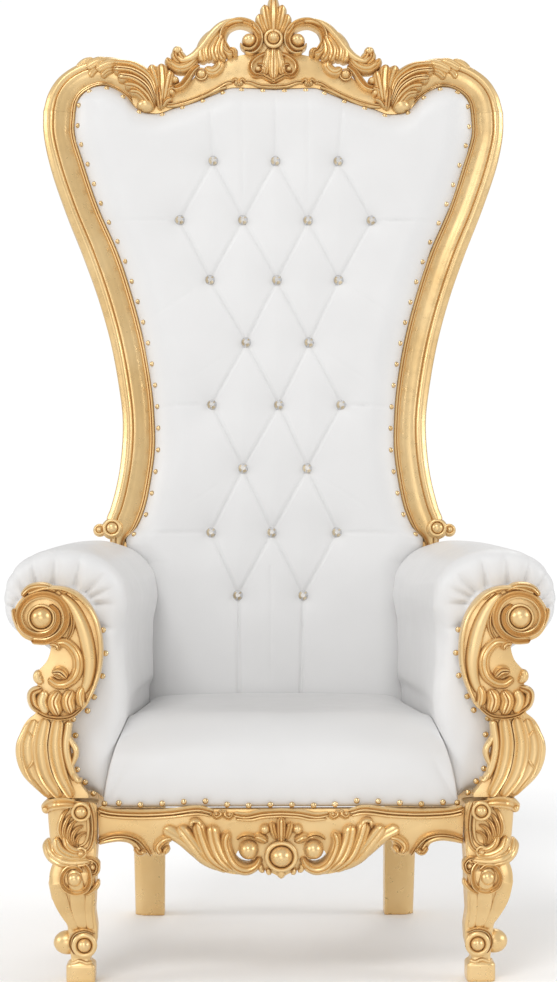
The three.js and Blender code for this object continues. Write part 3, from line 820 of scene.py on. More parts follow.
    def build(self, finishes: Finishes) -> Piece:
        """Builds and dresses the crest rail.

        Args:
            finishes: The throne's finishes.

        Returns:
            The piece.
        """
        carving = Carving(self.face)
        lower = smooth(CREST_LOWER, steps=120)
        edge = [tuple(p) for p in lower if p[0] < self.board_end]
        top = [tuple(p) for p in smooth(self.board_edge, steps=50)]
        carving.board([*top, *reversed(edge)], self.face, BACK_BOARD)
        plate = [tuple(p) for p in smooth(self.finial_plate, steps=36)]
        carving.board([*plate, (0, self.finial_plate[-1][1])], self.face, self.finial_back)
        Moulding(self.ear_outer, self.ear_inner, 60).build(carving.bm)
        carving.add(*self.finial, *self.drop, *self.scroll, *self.acanthus, *self.lip, *self.crown)
        carving.add(*self.ear_leaves, *self.balls)
        carving.mirror()
        carving.add(
            Stroke(((0, 12), (0, 50), (0, 87)), 14, 25, R3, .5, .5, lift=3),
            Stroke(((0, -14), (0, -50), (0, -83)), 11, 11, R4, .5, .9),
            Ball(0, 0, 13, 31, ring=4),
        )
        matrix = back_matrix() @ Matrix.Translation((0, 0, BOSS))
        return make("carved_crest", carving.bm, matrix, finishes.gilt, ["crest_rail"])


# ------------------------------------------------------------------ rear posts
@dataclass(frozen=True)
class RearPost:
    """One post: splayed leg, hidden middle behind the arm and the moulded upper part.

    `middle` has rows of height, inner side, step and outer side, and `middle_depths` are the depths
    of its face, its step and its back.
    """

    side: str
    leg_top: float = 306
    leg_inside: float = 212
    leg_outside: float = 268
    leg_swell: float = 4
    foot_front: float = 577
    knee_front: float = 501
    thick: float = 50
    chamfer: float = 17
    corner: float = 3
    middle_depths: tuple[float, float, float] = (0.4, 15, 31.6)
    middle: tuple[tuple[float, float, float, float], ...] = (
        (12, 231, 259, 272), (300, 231, 259, 300), (400, 231, 264, 313), (436, 231, 288, 316),
        (448, 254, 290, 318), (458, 264, 292, 321))
    balls: tuple[Ball, ...] = (
        Ball(311, 457, 21, 12, face=-15), Ball(311, 457, 12, 11, face=-22, ring=3.2),
        Ball(335, 455, 13, 12, face=-8), Ball(335, 455, 7, 10, face=-14, ring=2.2),
    )

    def leg_front(self, z: float) -> float:
        """Returns the depth of the leg's front face at a height above the floor."""
        return self.foot_front + (self.knee_front - self.foot_front) * z / self.leg_top

    def build(self, finishes: Finishes) -> Piece:
        """Builds and dresses one post.

        Args:
            finishes: The throne's finishes.

        Returns:
            The piece.
        """
        carving = Carving(-8)
        outer = [(454, 1286.9), *POST_OUTER[1:]]
        inner = [(391, 1286.9), *POST_INNER[1:]]
        Moulding(outer, inner, 150).build(carving.bm)
        carving.add(*self.balls)
        face, core, back = self.middle_depths
        middle = np.array([
            [(inside, core, z), (step, core, z), (step, face, z), (outside, face, z), (outside, back, z),
             (inside, back, z)]
            for z, inside, step, outside in self.middle])
        wrapped_grid(carving.bm, middle, closed=True, ends=True)
        lean = Matrix.Rotation(RAKE, 4, "X") @ Matrix.Translation(-HINGE)
        leg = bmesh.new()
        rows = []
        for z in np.linspace(0, self.leg_top, 8):
            share = z / self.leg_top
            inside = self.leg_inside - self.leg_swell * share
            outside = self.leg_outside + self.leg_swell * share
            front = self.leg_front(z)
            rows.append([
                (inside + self.corner, front, z), (outside - self.chamfer, front, z),
                (outside - self.corner, front + self.chamfer - 2 * self.corner, z),
                (outside, front + self.chamfer, z), (outside, front + self.thick, z),
                (inside, front + self.thick, z), (inside, front + self.corner, z)])
        wrapped_grid(leg, np.array(rows), closed=True, ends=True)
        bmesh.ops.transform(leg, verts=leg.verts, matrix=lean)
        carving.join(leg)
        name = f"rear_post_{self.side}"
        return make(f"gilt_post_{self.side}", carving.bm, back_matrix(), finishes.gilt,
                    [name], flip=SIDES[self.side] < 0)


# ------------------------------------------------------------------ front apron
@dataclass(frozen=True)
class FrontApron:
    """The front seat rail: cabochon, C-scrolls, acanthus sprays and arched ends."""

    face: float = -12
    back: float = 14
    half: float = 305.3
    top: float = 286
    trimmed: float = -10
    top_edge: Path = ((0, 286), (305.3, 286))
    bottom_edge: Path = (
        (305.3, 227), (287, 231), (266, 233), (249, 228), (241, 213), (232, 209), (224, 216), (210, 210),
        (195, 211), (188, 223), (182, 239), (166, 239), (150, 227), (133, 210), (117, 195), (100, 184),
        (83, 179), (67, 178), (50, 182), (37, 188), (22, 182), (11, 178), (0, 171))
    hole: Path = ((76, 208), (72, 217), (66, 219), (62, 209), (53, 203), (43, 202), (54, 197), (67, 200))
    strokes: tuple[Stroke, ...] = (
        Stroke(((108, 190), (136, 214), (164, 238), (196, 256)), 12, 11, R2, .4, .9, lift=3),
        Stroke(((100, 188), (130, 210), (150, 234), (170, 260)), 13, 15, R2, .4, .9, lift=4),
        Stroke(((88, 184), (116, 206), (130, 234), (140, 268)), 13, 18, R3, .4, .9, lift=4),
        Stroke(((132, 256), (138, 268), (148, 268), (150, 259)), 5, 20, ROLL, .8, .8, lift=2),
        Stroke(((78, 186), (98, 204), (110, 230), (116, 262)), 13, 20, R2, .4, .9, lift=5),
        Stroke(((34, 208), (42, 194), (58, 187), (76, 194), (88, 213), (93, 234), (88, 250)),
               11, 17, R3, .45, .8, lift=4),
        Stroke(((152, 232), (164, 240), (180, 241)), 7, 9, R2, .6, .8, lift=2),
        Stroke(((180, 240), (196, 236), (206, 224), (200, 212)), 8, 13, R3, .7, .6, lift=2),
        Stroke(((186, 226), (192, 218), (192, 212)), 6, 11, R2, .6, .6, lift=2),
        Stroke(((304, 236), (285, 243), (262, 245), (239, 238), (224, 222), (216, 209)),
               5, 11, LIP, .9, .6),
        Stroke(((304, 231), (285, 236), (262, 238), (244, 231), (234, 218)), 3.5, 9, ROLL, .9, .8),
        Stroke(((244, 224), (236, 214), (228, 216), (228, 224)), 5, 13, R2, .8, .6),
        Stroke(((304, 289), (285, 284), (235, 281), (185, 283), (136, 288), (112, 282)),
               6, 10, LIP, 1, .8, root=2.5),
        Stroke(((303, 279), (285, 275), (235, 272), (185, 274), (136, 279), (116, 275)),
               3, 6, ROLL, 1, .8),
        Stroke(((80, 279), (60, 276), (30, 281), (-6, 283)), 6, 10, LIP, .8, 1, root=2.5),
        Stroke(((76, 270), (50, 269), (30, 273), (-6, 275)), 3, 6, ROLL, .8, 1),
        Stroke(((114, 282), (108, 275), (100, 280), (104, 285)), 6, 13, R3, .8, .6, lift=1),
        Stroke(((80, 282), (86, 274), (94, 279), (91, 285)), 6, 13, R3, .8, .6, lift=1),
        Stroke(((8, 236), (13, 252), (16, 266)), 7, 16, R2, .6, .8, lift=3),
        Stroke(((46, 240), (36, 240), (22, 232)), 9, 14, R3, .5, .5),
        Stroke(((38, 248), (34, 240), (24, 238)), 5, 13, R2, .5, .5),
        Stroke(((74, 236), (62, 243), (48, 242), (36, 233)), 4, 13, LIP, .5, .6),
        Stroke(((32, 196), (34, 188), (28, 182)), 5, 13, ROLL, .7, .6),
        Stroke(((20, 190), (21, 183), (17, 178)), 5, 13, ROLL, .7, .6),
    )
    balls: tuple[Ball, ...] = (
        Ball(54, 220, 17, 26), Ball(27, 254, 9.5, 17), Ball(230, 217, 4, 16), Ball(108, 280, 3.5, 15),
        Ball(86, 279, 3.5, 15),
    )

    def build(self, finishes: Finishes) -> Piece:
        """Builds and dresses the apron.

        Args:
            finishes: The throne's finishes.

        Returns:
            The piece.
        """
        carving = Carving(self.face)
        bottom = [tuple(p) for p in smooth(self.bottom_edge, steps=110)]
        hole = [tuple(p) for p in smooth((*self.hole, self.hole[0]), steps=20)[:-1]]
        carving.board([*self.top_edge, *bottom[1:]], self.face, self.back, holes=[hole])
        carving.add(*self.strokes, *self.balls)
        carving.mirror()
        carving.add(
            Stroke(((0, 232), (0, 252), (0, 274)), 9, 20, R3, .6, .8, lift=3),
            Stroke(((0, 192), (0, 182), (0, 171)), 7, 13, ROLL, .8, .5),
            Ball(0, 209, 20.5, 30, tall=.93, ring=4.4),
        )
        self.trim(carving.bm)
        return make("carved_apron", carving.bm, front_matrix(), finishes.gilt,
                    ["front_apron"])

    def trim(self, bm: BMesh) -> None:
        """Keeps the carving inside the rail's length and under the seat.

        Args:
            bm: The mesh.
        """
        for vert in bm.verts:
            vert.co.x = max(-self.half, min(self.half, vert.co.x))
            if vert.co.y > self.trimmed:
                vert.co.z = min(self.top, vert.co.z)


# ------------------------------------------------------------------ front legs
@dataclass(frozen=True)
class FrontLeg:
    """One carved leg: corner block, knee, ankle and block foot.

    `levels` has rows of height, inner side, outer side, front and back. Carving that stands farther
    forwards than `overlap` may lap over the parts above.
    """

    side: str
    overlap: float = -40.5
    height: float = 307
    top: float = 306.8
    block_bottom: float = 222
    shaft_inner: float = 299
    corner_start: float = 296
    toe: Point = (356, 64)
    toe_size: float = 23
    toe_depth: float = 20
    levels: tuple[tuple[float, float, float, float, float], ...] = (
        (0, 310, 356, -23, 23), (3, 309, 357, -24, 24), (29, 309, 357, -24, 24), (34, 316, 350, -20, 20),
        (40, 317, 349, -19, 19), (56, 309, 352, -20, 21), (68, 306, 354, -21, 22), (92, 305, 355, -20, 22),
        (117, 309, 367, -25, 24), (140, 308, 381, -36, 29), (168, 307, 386, -43, 33),
        (186, 307, 379, -42, 34), (200, 307, 379, -36, 34), (220, 305.6, 388, -35, 34),
        (236, 305.6, 384, -32, 34), (270, 305.6, 387, -32, 34), (307, 305.6, 389, -32, 34))
    strokes: tuple[Stroke, ...] = (
        Stroke(((362, 208), (371, 184), (368, 154), (357, 122), (339, 88)), 12.5, 5, BAND, .9, .4),
        Stroke(((345, 192), (337, 160), (336, 130), (328, 88)), 13, 6, BAND, 1, .5),
        Stroke(((317, 160), (319, 135), (319, 110), (316, 88)), 6.5, 5, BAND, 1, .9),
        Stroke(((352, 205), (334, 203), (320, 194), (316, 176), (322, 160), (340, 154), (357, 162),
                (362, 178), (354, 193), (340, 196), (328, 188)), 5, 10, COVE, .6, .6),
        Stroke(((313, 36), (322, 33), (334, 37), (346, 33), (353, 35)), 3, 4, ROLL, .9, .9, root=4),
        Stroke(((326, 150), (314, 156), (303, 168), (301, 176)), 5, 9, R2, .8, .5),
        Stroke(((318, 302), (312, 284), (310, 250), (317, 226), (332, 217)), 5, 11, LIP, .8, .8),
        Stroke(((327, 300), (321, 282), (319, 252), (325, 234), (336, 228)), 3.5, 8, ROLL, .7, .6),
        Stroke(((348, 229), (366, 252), (360, 282), (350, 292)), 5, 10, R2, .4, .4),
        Stroke(((346, 229), (359, 252), (352, 276), (341, 284)), 5, 12, R2, .4, .4),
        Stroke(((343, 229), (352, 248), (345, 268), (333, 274)), 5, 13, R2, .4, .4),
        Stroke(((340, 229), (345, 245), (338, 258), (327, 263)), 5, 13, R2, .4, .4),
        Stroke(((336, 229), (338, 240), (331, 249), (322, 252)), 4, 12, R2, .4, .4),
        Stroke(((340, 300), (360, 302), (382, 298), (396, 284)), 10, 15, COVE, .6, .8, lift=3),
        Stroke(((350, 292), (368, 294), (384, 288)), 4, 10, ROLL, .5, .6, lift=2),
        Stroke(((314, 205), (350, 203), (378, 214), (389, 238)), 12, 11, R3, .5, .9),
        Stroke(((322, 213), (346, 213), (366, 224), (374, 244)), 9, 12, R2, .5, .9),
        Stroke(((326, 222), (343, 223), (354, 232), (358, 246)), 7, 12, R2, .5, .9),
        Stroke(((322, 210), (309, 207), (302, 198), (306, 186), (314, 184)), 4.5, 12, LIP, .6, .6),
        Stroke(((342, 48), (350, 64), (344, 82), (326, 88), (308, 82)), 4, 9, LIP, .6, .6),
    )
    balls: tuple[Ball, ...] = (
        Ball(341, 176, 12.5, 14), Ball(390, 288, 8, 12), Ball(331, 286, 11, 18, ring=3.4),
        Ball(326, 64, 13, 20, ring=4.6), Ball(331, 219, 6, 17, ring=2.4), Ball(311, 195, 5, 9, tall=1.2),
    )

    def surface(self, x: float, z: float) -> float:
        """Finds the depth of the leg's front.

        Args:
            x: How far out the place is.
            z: Its height.

        Returns:
            The depth.
        """
        heights = [level[0] for level in self.levels]
        front = float(np.interp(z, heights, [level[3] for level in self.levels]))
        outside = float(np.interp(z, heights, [level[2] for level in self.levels]))
        inside = float(np.interp(z, heights, [level[1] for level in self.levels]))
        bevel = 0.25 * (outside - inside)
        near = max(0.0, x - (outside - bevel)) / bevel
        return front + 0.8 * bevel * min(near, 1.4) ** 2

    def section(self, inside: float, outside: float, front: float, back: float) -> list[Point]:
        """Makes a ring of the shaft with its front outer corner well rounded.

        Args:
            inside: The ring's inner side.
            outside: Its outer side.
            front: The depth of its front.
            back: The depth of its back.

        Returns:
            The ring's (x, y) points.
        """
        ring = []
        corners = ((inside, front, 5), (outside, front, 0.24 * (outside - inside)),
                   (outside, back, 6), (inside, back, 3))
        starts = (math.pi, 1.5 * math.pi, 0, 0.5 * math.pi)
        for (x, y, radius), start in zip(corners, starts):
            cx = x + radius if x == inside else x - radius
            cy = y + radius if y == front else y - radius
            for a in np.linspace(start, start + math.pi / 2, 6):
                ring.append((cx + radius * math.cos(a), cy + radius * math.sin(a)))
        return ring

    def build(self, finishes: Finishes) -> Piece:
        """Builds and dresses one front leg.

        Args:
            finishes: The throne's finishes.

        Returns:
            The piece.
        """
        carving = Carving(self.surface)
        table = np.array(self.levels)
        heights = np.linspace(0, self.height, 150)
        smoothed = [np.interp(heights, table[:, 0], table[:, i]) for i in range(1, 5)]
        kernel = np.array([1, 2, 1]) / 4
        smoothed = [np.convolve(np.pad(v, 1, mode="edge"), kernel, mode="valid") for v in smoothed]
        rings = [[(x, y, z) for x, y in self.section(*row)] for z, *row in zip(heights, *smoothed)]
        wrapped_grid(carving.bm, np.array(rings), closed=True, ends=True)
        carving.add(*self.strokes, *self.balls)
        size = Matrix.Diagonal((self.toe_size, self.toe_depth, self.toe_depth, 1))
        matrix = Matrix.Translation((self.toe[0], 0, self.toe[1])) @ size
        bmesh.ops.create_uvsphere(carving.bm, u_segments=24, v_segments=14, radius=1, matrix=matrix)
        for vert in carving.bm.verts:
            vert.co.x = max(LEG_INNER if vert.co.z > self.block_bottom else self.shaft_inner, vert.co.x)
            if vert.co.y > self.overlap:
                vert.co.z = min(self.top, leg_slope(vert.co.x, self.corner_start), max(0, vert.co.z))
        name = f"front_leg_{self.side}"
        return make(f"carved_leg_{self.side}", carving.bm, front_matrix(), finishes.gilt,
                    [name], flip=SIDES[self.side] < 0)


# ------------------------------------------------------------------ arm fronts
@dataclass(frozen=True)
class ArmFront:
    """One carved facing: leaf post below, C-scroll and big volute above."""

    side: str
    face: float = -24
    back: float = 5.7
    foot: float = 307.3
    outline: Path = (
        (388, 307.3), (400, 320), (416, 336), (429, 353), (436, 370), (437, 392), (431, 419),
        (421, 436), (406, 450), (415, 475), (403, 490), (410, 510), (399, 522), (387, 537), (383, 562),
        (405, 565), (428, 574), (443, 597), (444, 614), (434, 634), (418, 649), (390, 658), (357, 656),
        (333, 644), (313, 620), (301, 590), (297, 552), (300, 517), (310, 486), (325, 457), (348, 442),
        (351, 415), (352, 375), (345, 350), (333, 330), (319, 307.3))
    strokes: tuple[Stroke, ...] = (
        Stroke(((420, 646), (392, 655), (358, 653), (334, 640), (313, 614), (303, 586), (299, 552),
                (302, 518), (312, 487), (322, 466)), 4.5, 15, ROLL, .7, .6),
        Stroke(((366, 646), (345, 624), (330, 594), (321, 562), (317, 530), (321, 500), (330, 480)),
               12.5, 11, ROLL, .45, .5),
        Stroke(((414, 568), (386, 568), (363, 583), (355, 606), (366, 634), (392, 645), (420, 636),
                (434, 612), (426, 588), (404, 577), (382, 582), (370, 598), (371, 616), (384, 628)),
               7, 14, COVE, .8, .6),
        Stroke(((360, 563), (348, 582), (345, 604), (352, 626)), 4.5, 11, LIP, .5, .6),
        Stroke(((430, 642), (416, 655), (390, 658), (372, 650)), 7, 14, R3, .6, .5, lift=2),
        Stroke(((444, 622), (440, 604), (434, 590)), 5, 12, R2, .6, .6),
        Stroke(((368, 656), (360, 650), (352, 652)), 5, 14, R2, .7, .6),
        Stroke(((348, 650), (338, 640), (328, 640)), 5, 14, R2, .7, .6),
        Stroke(((382, 561), (358, 565), (341, 549), (336, 530), (341, 510), (355, 498), (370, 496),
                (386, 506)), 10, 14, R3, .7, .7),
        Stroke(((384, 563), (372, 561), (368, 552)), 7, 16, R3, .7, .6, lift=2),
        Stroke(((380, 516), (366, 517), (354, 506)), 10, 21, R4, .6, .4, lift=1),
        Stroke(((394, 498), (404, 506), (402, 520)), 7, 12, ROLL, .6, .6),
        Stroke(((396, 490), (412, 482), (410, 462), (398, 450)), 8, 16, LIP, .6, .6),
        Stroke(((390, 486), (397, 468), (388, 446)), 10, 13, ROLL, .8, .6, lift=2),
        Stroke(((368, 485), (376, 467), (368, 444)), 12.5, 15, R4, .8, .6, lift=3),
        Stroke(((346, 487), (353, 469), (347, 447)), 12.5, 15, R4, .8, .6, lift=3),
        Stroke(((329, 493), (333, 476), (330, 458)), 9, 13, R3, .8, .6, lift=3),
        Stroke(((414, 462), (396, 446), (372, 440), (348, 443), (330, 456)), 4.5, 16, LIP, .6, .6),
        Stroke(((390, 440), (398, 394), (390, 348), (366, 309)), 13, 15, FLUTE, .75, .5),
        Stroke(((369, 440), (374, 394), (366, 350), (346, 309)), 12, 16, FLUTE, .8, .55),
        Stroke(((408, 438), (420, 394), (412, 352), (384, 311)), 12, 12, FLUTE, .6, .45),
        Stroke(((352, 436), (357, 394), (352, 364), (342, 336)), 8, 13, ROLL, .8, .5),
        Stroke(((418, 432), (433, 394), (425, 354), (396, 318)), 7, 10, ROLL, .5, .5),
        Stroke(((420, 420), (408, 400), (409, 372), (424, 352)), 4, 10, ROLL, .5, .5),
        Stroke(((358, 418), (350, 404), (340, 384), (351, 352)), 5, 10, ROLL, .5, .5),
        Stroke(((346, 350), (336, 336), (330, 340)), 5, 13, ROLL, .7, .6),
    )
    balls: tuple[Ball, ...] = (Ball(397, 606, 19, 20, ring=2.4), Ball(402, 506, 8, 11))

    def build(self, finishes: Finishes) -> Piece:
        """Builds and dresses one arm front.

        Args:
            finishes: The throne's finishes.

        Returns:
            The piece.
        """
        carving = Carving(self.face)
        outline = smooth((*self.outline, self.outline[0]), steps=170)
        carving.board([tuple(p) for p in outline[:-1]], self.face, self.back, bevel=3)
        carving.add(*self.strokes, *self.balls)
        for vert in carving.bm.verts:
            vert.co.z = max(self.foot, vert.co.z)
            vert.co.y = min(self.back, vert.co.y)
        return make(f"carved_arm_front_{self.side}", carving.bm, front_matrix(), finishes.gilt,
                    [f"arm_front_{self.side}"], flip=SIDES[self.side] < 0)


# ------------------------------------------------------------------ plain rails
@dataclass(frozen=True)
class Rails:
    """The side rails and the rear rail under the seat."""

    bottom: float = 226
    side_top: float = 307
    thick: float = 28
    start: float = 34.4
    gap: float = 0.4
    centre: float = 352
    taper: float = 0.197
    rear_half: float = 207.5
    rear_top: float = 286
    rear_front: float = 512
    rear_back: float = 540
    section: tuple[Point, ...] = (
        (0, 0), (0.9, 0), (1, 0.03), (1, 0.18), (1.1, 0.24), (1.22, 0.32), (1.24, 0.36), (1.2, 0.41),
        (1.06, 0.48), (1, 0.52), (1, 0.78), (1.1, 0.83), (1.24, 0.87), (1.3, 0.9), (1.3, 0.97),
        (1.24, 1), (0, 1))

    def side(self, side: str, finishes: Finishes) -> Piece:
        """Builds and dresses one side rail.

        Args:
            side: The side, left or right.
            finishes: The throne's finishes.

        Returns:
            The piece.
        """
        bm = bmesh.new()
        post = RearPost("right")
        rows = []
        for t in np.linspace(0, 1, 12):
            row = []
            for out, up in self.section:
                z = self.bottom + (self.side_top - self.bottom) * up
                y = self.start + t * (post.leg_front(z) - self.gap - self.start)
                row.append((self.centre - self.taper * (y - FOOT_BACK) + (out - 0.5) * self.thick, y, z))
            rows.append(row)
        wrapped_grid(bm, np.array(rows), closed=True, ends=True)
        return make(f"gilt_side_rail_{side}", bm, front_matrix(), finishes.gilt,
                    [f"side_rail_{side}"], flip=SIDES[side] < 0)

    def rear(self, finishes: Finishes) -> Piece:
        """Builds and dresses the rear rail.

        Args:
            finishes: The throne's finishes.

        Returns:
            The piece.
        """
        carving = Carving(0)
        half, low, high = self.rear_half, self.bottom, self.rear_top
        outline = ((-half, low), (half, low), (half, high), (-half, high))
        carving.board(outline, self.rear_front, self.rear_back, bevel=3)
        return make("gilt_rear_rail", carving.bm, front_matrix(), finishes.gilt,
                    ["rear_rail"])


# ------------------------------------------------------------------ upholstery
BUTTON_ROWS: tuple[tuple[float, tuple[float, ...]], ...] = (
    (1183, (-119, 3, 126)), (1063, (-184, -61, 66, 190)), (943, (-125, 5, 125)), (819, (-55, 67)),
    (696, (-121, 8, 128)), (572, (-61, 62)), (448, (-122, -6, 118)), (327, (-71, 53)))
BUTTON_DEPTH = -26.3
PAD_EDGE = 0.6            # the gap between the padding and what it meets
POST_FOOT = 457           # where the posts' mouldings end, up the rake
HIDDEN_SIDE: Path = ((230, 24), (230, 80), (258, 110), (258, 390), (285, 425), (285, 440))


class Opening:
    """The opening that the crest and posts leave for the padded back."""

    def __init__(self) -> None:
        """Samples the opening's edges."""
        crest = smooth(CREST_LOWER, steps=200)
        self.top_x, self.top_z = crest[:, 0], crest[:, 1] + BOSS
        post = smooth(POST_INNER, steps=200)[::-1]
        side = np.vstack([HIDDEN_SIDE, post[post[:, 1] > POST_FOOT]])
        self.side_x, self.side_z = side[:, 0], side[:, 1]

    def top(self, x: np.ndarray) -> np.ndarray:
        """Returns the height of the crest's lower edge at a distance from the middle."""
        return np.interp(np.abs(x), self.top_x, self.top_z)

    def side(self, z: np.ndarray) -> np.ndarray:
        """Returns half of the opening's width at a height."""
        return np.interp(z, self.side_z, self.side_x)

    def rim(self) -> np.ndarray:
        """Gathers points round half of the opening's edge, from the middle down the side.

        Returns:
            The (x, z) points.
        """
        top = np.column_stack([self.top_x, self.top_z])
        side = np.column_stack([self.side_x, self.side_z])[::-1]
        return np.vstack([top, side[side[:, 1] < CREST_JOINT]])


@dataclass
class BackPad:
    """The deep-buttoned back: a padded field pulled in by the buttons and their folds.

    The field rises from the edge within `border`. A button pulls the face in by `pull` over about
    `dimple`, and a fold by `fold` over about `crease`, in a valley of about `valley`. Two buttons of
    neighbouring rows share a fold when they are less than `partner` apart across.
    """

    columns: int = 216
    rows: int = 340
    bottom: float = 24.6
    bottom_edge: float = 24
    back: float = 14
    edge_depth: float = -8
    field_depth: float = -39
    border: float = 62
    pull: float = 13
    dimple: float = 24
    fold: float = 8.5
    crease: float = 5.5
    valley: float = 30
    partner: float = 85
    side_rows: tuple[tuple[float, float, float], ...] = (
        (1063, -184, 190), (696, -121, 128), (448, -122, 118))
    slack_rows: tuple[tuple[float, float, float], ...] = (
        (943, -125, 125), (819, -55, 67), (572, -61, 62))
    opening: Opening = field(default_factory=Opening)

    def buttons(self) -> list[Point]:
        """Returns the places of the buttons."""
        return [(x, v) for v, row in BUTTON_ROWS for x in row]

    def folds(self) -> list[tuple[Point, Point, float]]:
        """Makes the folds: diamonds between the rows, and pleats to the frame.

        Returns:
            The folds, each a start, an end and a strength.
        """
        folds = []
        for (upper, row), (lower, below) in zip(BUTTON_ROWS, BUTTON_ROWS[1:]):
            folds += [((a, upper), (b, lower), 1.0)
                      for a in row for b in below if abs(a - b) < self.partner]
        v, row = BUTTON_ROWS[0]
        folds += [((x, v), (x * 1.08, float(self.opening.top(np.array(x))) - 4), 0.75) for x in row]
        folds += [((x, 1063), (x * 1.02, 1330), 0.35) for x in (-61, 66)]
        folds += [((x, 327), (x + shift, 110), 1.0) for x, shift in ((-71, 2), (53, -6))]
        folds += [((-9, 380), (-9, 140), 0.3)]
        for v, left, right in self.side_rows:
            edge = float(self.opening.side(np.array(v)))
            folds += [((left, v), (6 - edge, v - 4), 0.6), ((right, v), (edge - 6, v - 4), 0.6)]
        for v, left, right in self.slack_rows:
            edge = float(self.opening.side(np.array(v - 50)))
            folds += [((left, v), (max(10 - edge, left - 110), v - 75), 0.3),
                      ((right, v), (min(edge - 10, right + 110), v - 75), 0.3)]
        return folds

    def depth(self, x: np.ndarray, z: np.ndarray) -> np.ndarray:
        """Finds the depth of the padded face.

        Args:
            x: The places' distances from the middle.
            z: Their heights.

        Returns:
            The depths.
        """
        margin = np.minimum(self.opening.side(z) - np.abs(x), self.opening.top(x) - z)
        margin = np.clip(np.minimum(margin, (z - self.bottom_edge) * 0.8), 0, None)
        puff = (1 - (1 - np.clip(margin / self.border, 0, 1)) ** 2.2) ** 0.8
        depth = self.edge_depth + (self.field_depth - self.edge_depth) * puff
        pull = np.zeros_like(x)
        for bx, bz in self.buttons():
            pull = np.maximum(pull, np.exp(-np.hypot(x - bx, z - bz) / self.dimple))
        crease = np.zeros_like(x)
        for (ax, az), (bx, bz), strength in self.folds():
            length = math.hypot(bx - ax, bz - az)
            t = np.clip(((x - ax) * (bx - ax) + (z - az) * (bz - az)) / length ** 2, 0, 1)
            away = np.hypot(x - ax - t * (bx - ax), z - az - t * (bz - az))
            fade = 1 - 0.35 * np.sin(math.pi * t) if strength == 1.0 else 1 - 0.75 * t
            crease = np.maximum(crease, strength * fade * np.exp(-away / self.crease))
            crease = np.maximum(crease, 0.5 * strength * fade * np.exp(-away / self.valley))
        depth = depth + self.pull * pull + self.fold * crease * puff * (1 - 0.7 * pull)
        return np.minimum(depth, self.edge_depth)

    def build(self, finishes: Finishes) -> Piece:
        """Builds and dresses the padded back.

        Args:
            finishes: The throne's finishes.

        Returns:
            The piece.
        """
        s = np.linspace(-1, 1, self.columns)[:, None]
        t = np.linspace(0, 1, self.rows)[None, :]
        widest = float(self.opening.side_x.max())
        top = self.opening.top(s * widest) - PAD_EDGE
        z = self.bottom + t * (top - self.bottom)
        x = s * (self.opening.side(z) - PAD_EDGE)
        y = self.depth(x, z)
        bm = bmesh.new()
        wrapped_grid(bm, np.stack([x, y, z], axis=2), closed=False, ends=False)
        rim = [e for e in bm.edges if e.is_boundary]
        sides = bmesh.ops.extrude_edge_only(bm, edges=rim)["geom"]
        for vert in (v for v in sides if isinstance(v, bmesh.types.BMVert)):
            vert.co.y = self.back
        bmesh.ops.holes_fill(bm, edges=[e for e in bm.edges if e.is_boundary], sides=0)
        pad = make("tufted_back", bm, back_matrix(), finishes.leather, ["back_pad"],
                   sharp=75)
        return pad


CLOTH_VOXEL = 0.006
CLOTH_CAP = 0.006
CLOTH_FRAMES = 20


def inflate(piece: Piece, voxel: float, cap: float, pressure: float = 4.0) -> None:
    """Swells a closed piece with a short cloth simulation and applies the result.

    Args:
        piece: The closed piece, its mesh in place.
        voxel: The size of the remeshing voxels in metres.
        cap: The farthest that a point may move, in metres.
        pressure: The pressure inside.
    """
    remesh = piece.modifiers.new("remesh", "REMESH")
    remesh.mode = "VOXEL"
    remesh.voxel_size = voxel
    apply_modifiers(piece)
    start = np.empty(3 * len(piece.data.vertices))
    piece.data.vertices.foreach_get("co", start)
    cloth = piece.modifiers.new("cloth", "CLOTH")
    cloth.settings.use_pressure = True
    cloth.settings.uniform_pressure_force = pressure
    cloth.settings.effector_weights.gravity = 0
    cloth.settings.quality = 5
    cloth.point_cache.frame_start = 1
    cloth.point_cache.frame_end = CLOTH_FRAMES
    for step in range(1, CLOTH_FRAMES + 1):
        bpy.context.scene.frame_set(step)
    apply_modifiers(piece)
    bpy.context.scene.frame_set(1)
    end = np.empty_like(start)
    piece.data.vertices.foreach_get("co", end)
    moved = (end - start).reshape(-1, 3)
    far = np.linalg.norm(moved, axis=1)
    moved *= (np.minimum(far, cap) / np.maximum(far, 1e-9))[:, None]
    piece.data.vertices.foreach_set("co", (start.reshape(-1, 3) + moved).ravel())
    log.info("%s: swelled by up to %.1f mm", piece.name, 1000 * min(cap, far.max()))


def apply_modifiers(piece: Piece) -> None:
    """Replaces a piece's mesh by what its modifiers make of it.

    Args:
        piece: The piece.
    """
    evaluated = piece.evaluated_get(bpy.context.evaluated_depsgraph_get())
    mesh = bpy.data.meshes.new_from_object(evaluated)
    old = piece.data
    piece.modifiers.clear()
    piece.data = mesh
    bpy.data.meshes.remove(old)


def soften(piece: Piece, rounds: int) -> None:
    """Smooths a piece's mesh and shades it smooth.

    Args:
        piece: The piece.
        rounds: How often it is smoothed.
    """
    bm = bmesh.new()
    bm.from_mesh(piece.data)
    for _ in range(rounds):
        bmesh.ops.smooth_vert(bm, verts=bm.verts, factor=0.5, use_axis_x=True, use_axis_y=True,
                              use_axis_z=True)
    for face in bm.faces:
        face.smooth = True
    bm.to_mesh(piece.data)
    bm.free()


def subdivide(piece: Piece) -> None:
    """Gives a simulated piece one subdivision.

    Args:
        piece: The piece.
    """
    finer = piece.modifiers.new("finer", "SUBSURF")
    finer.levels = finer.render_levels = 1
    apply_modifiers(piece)


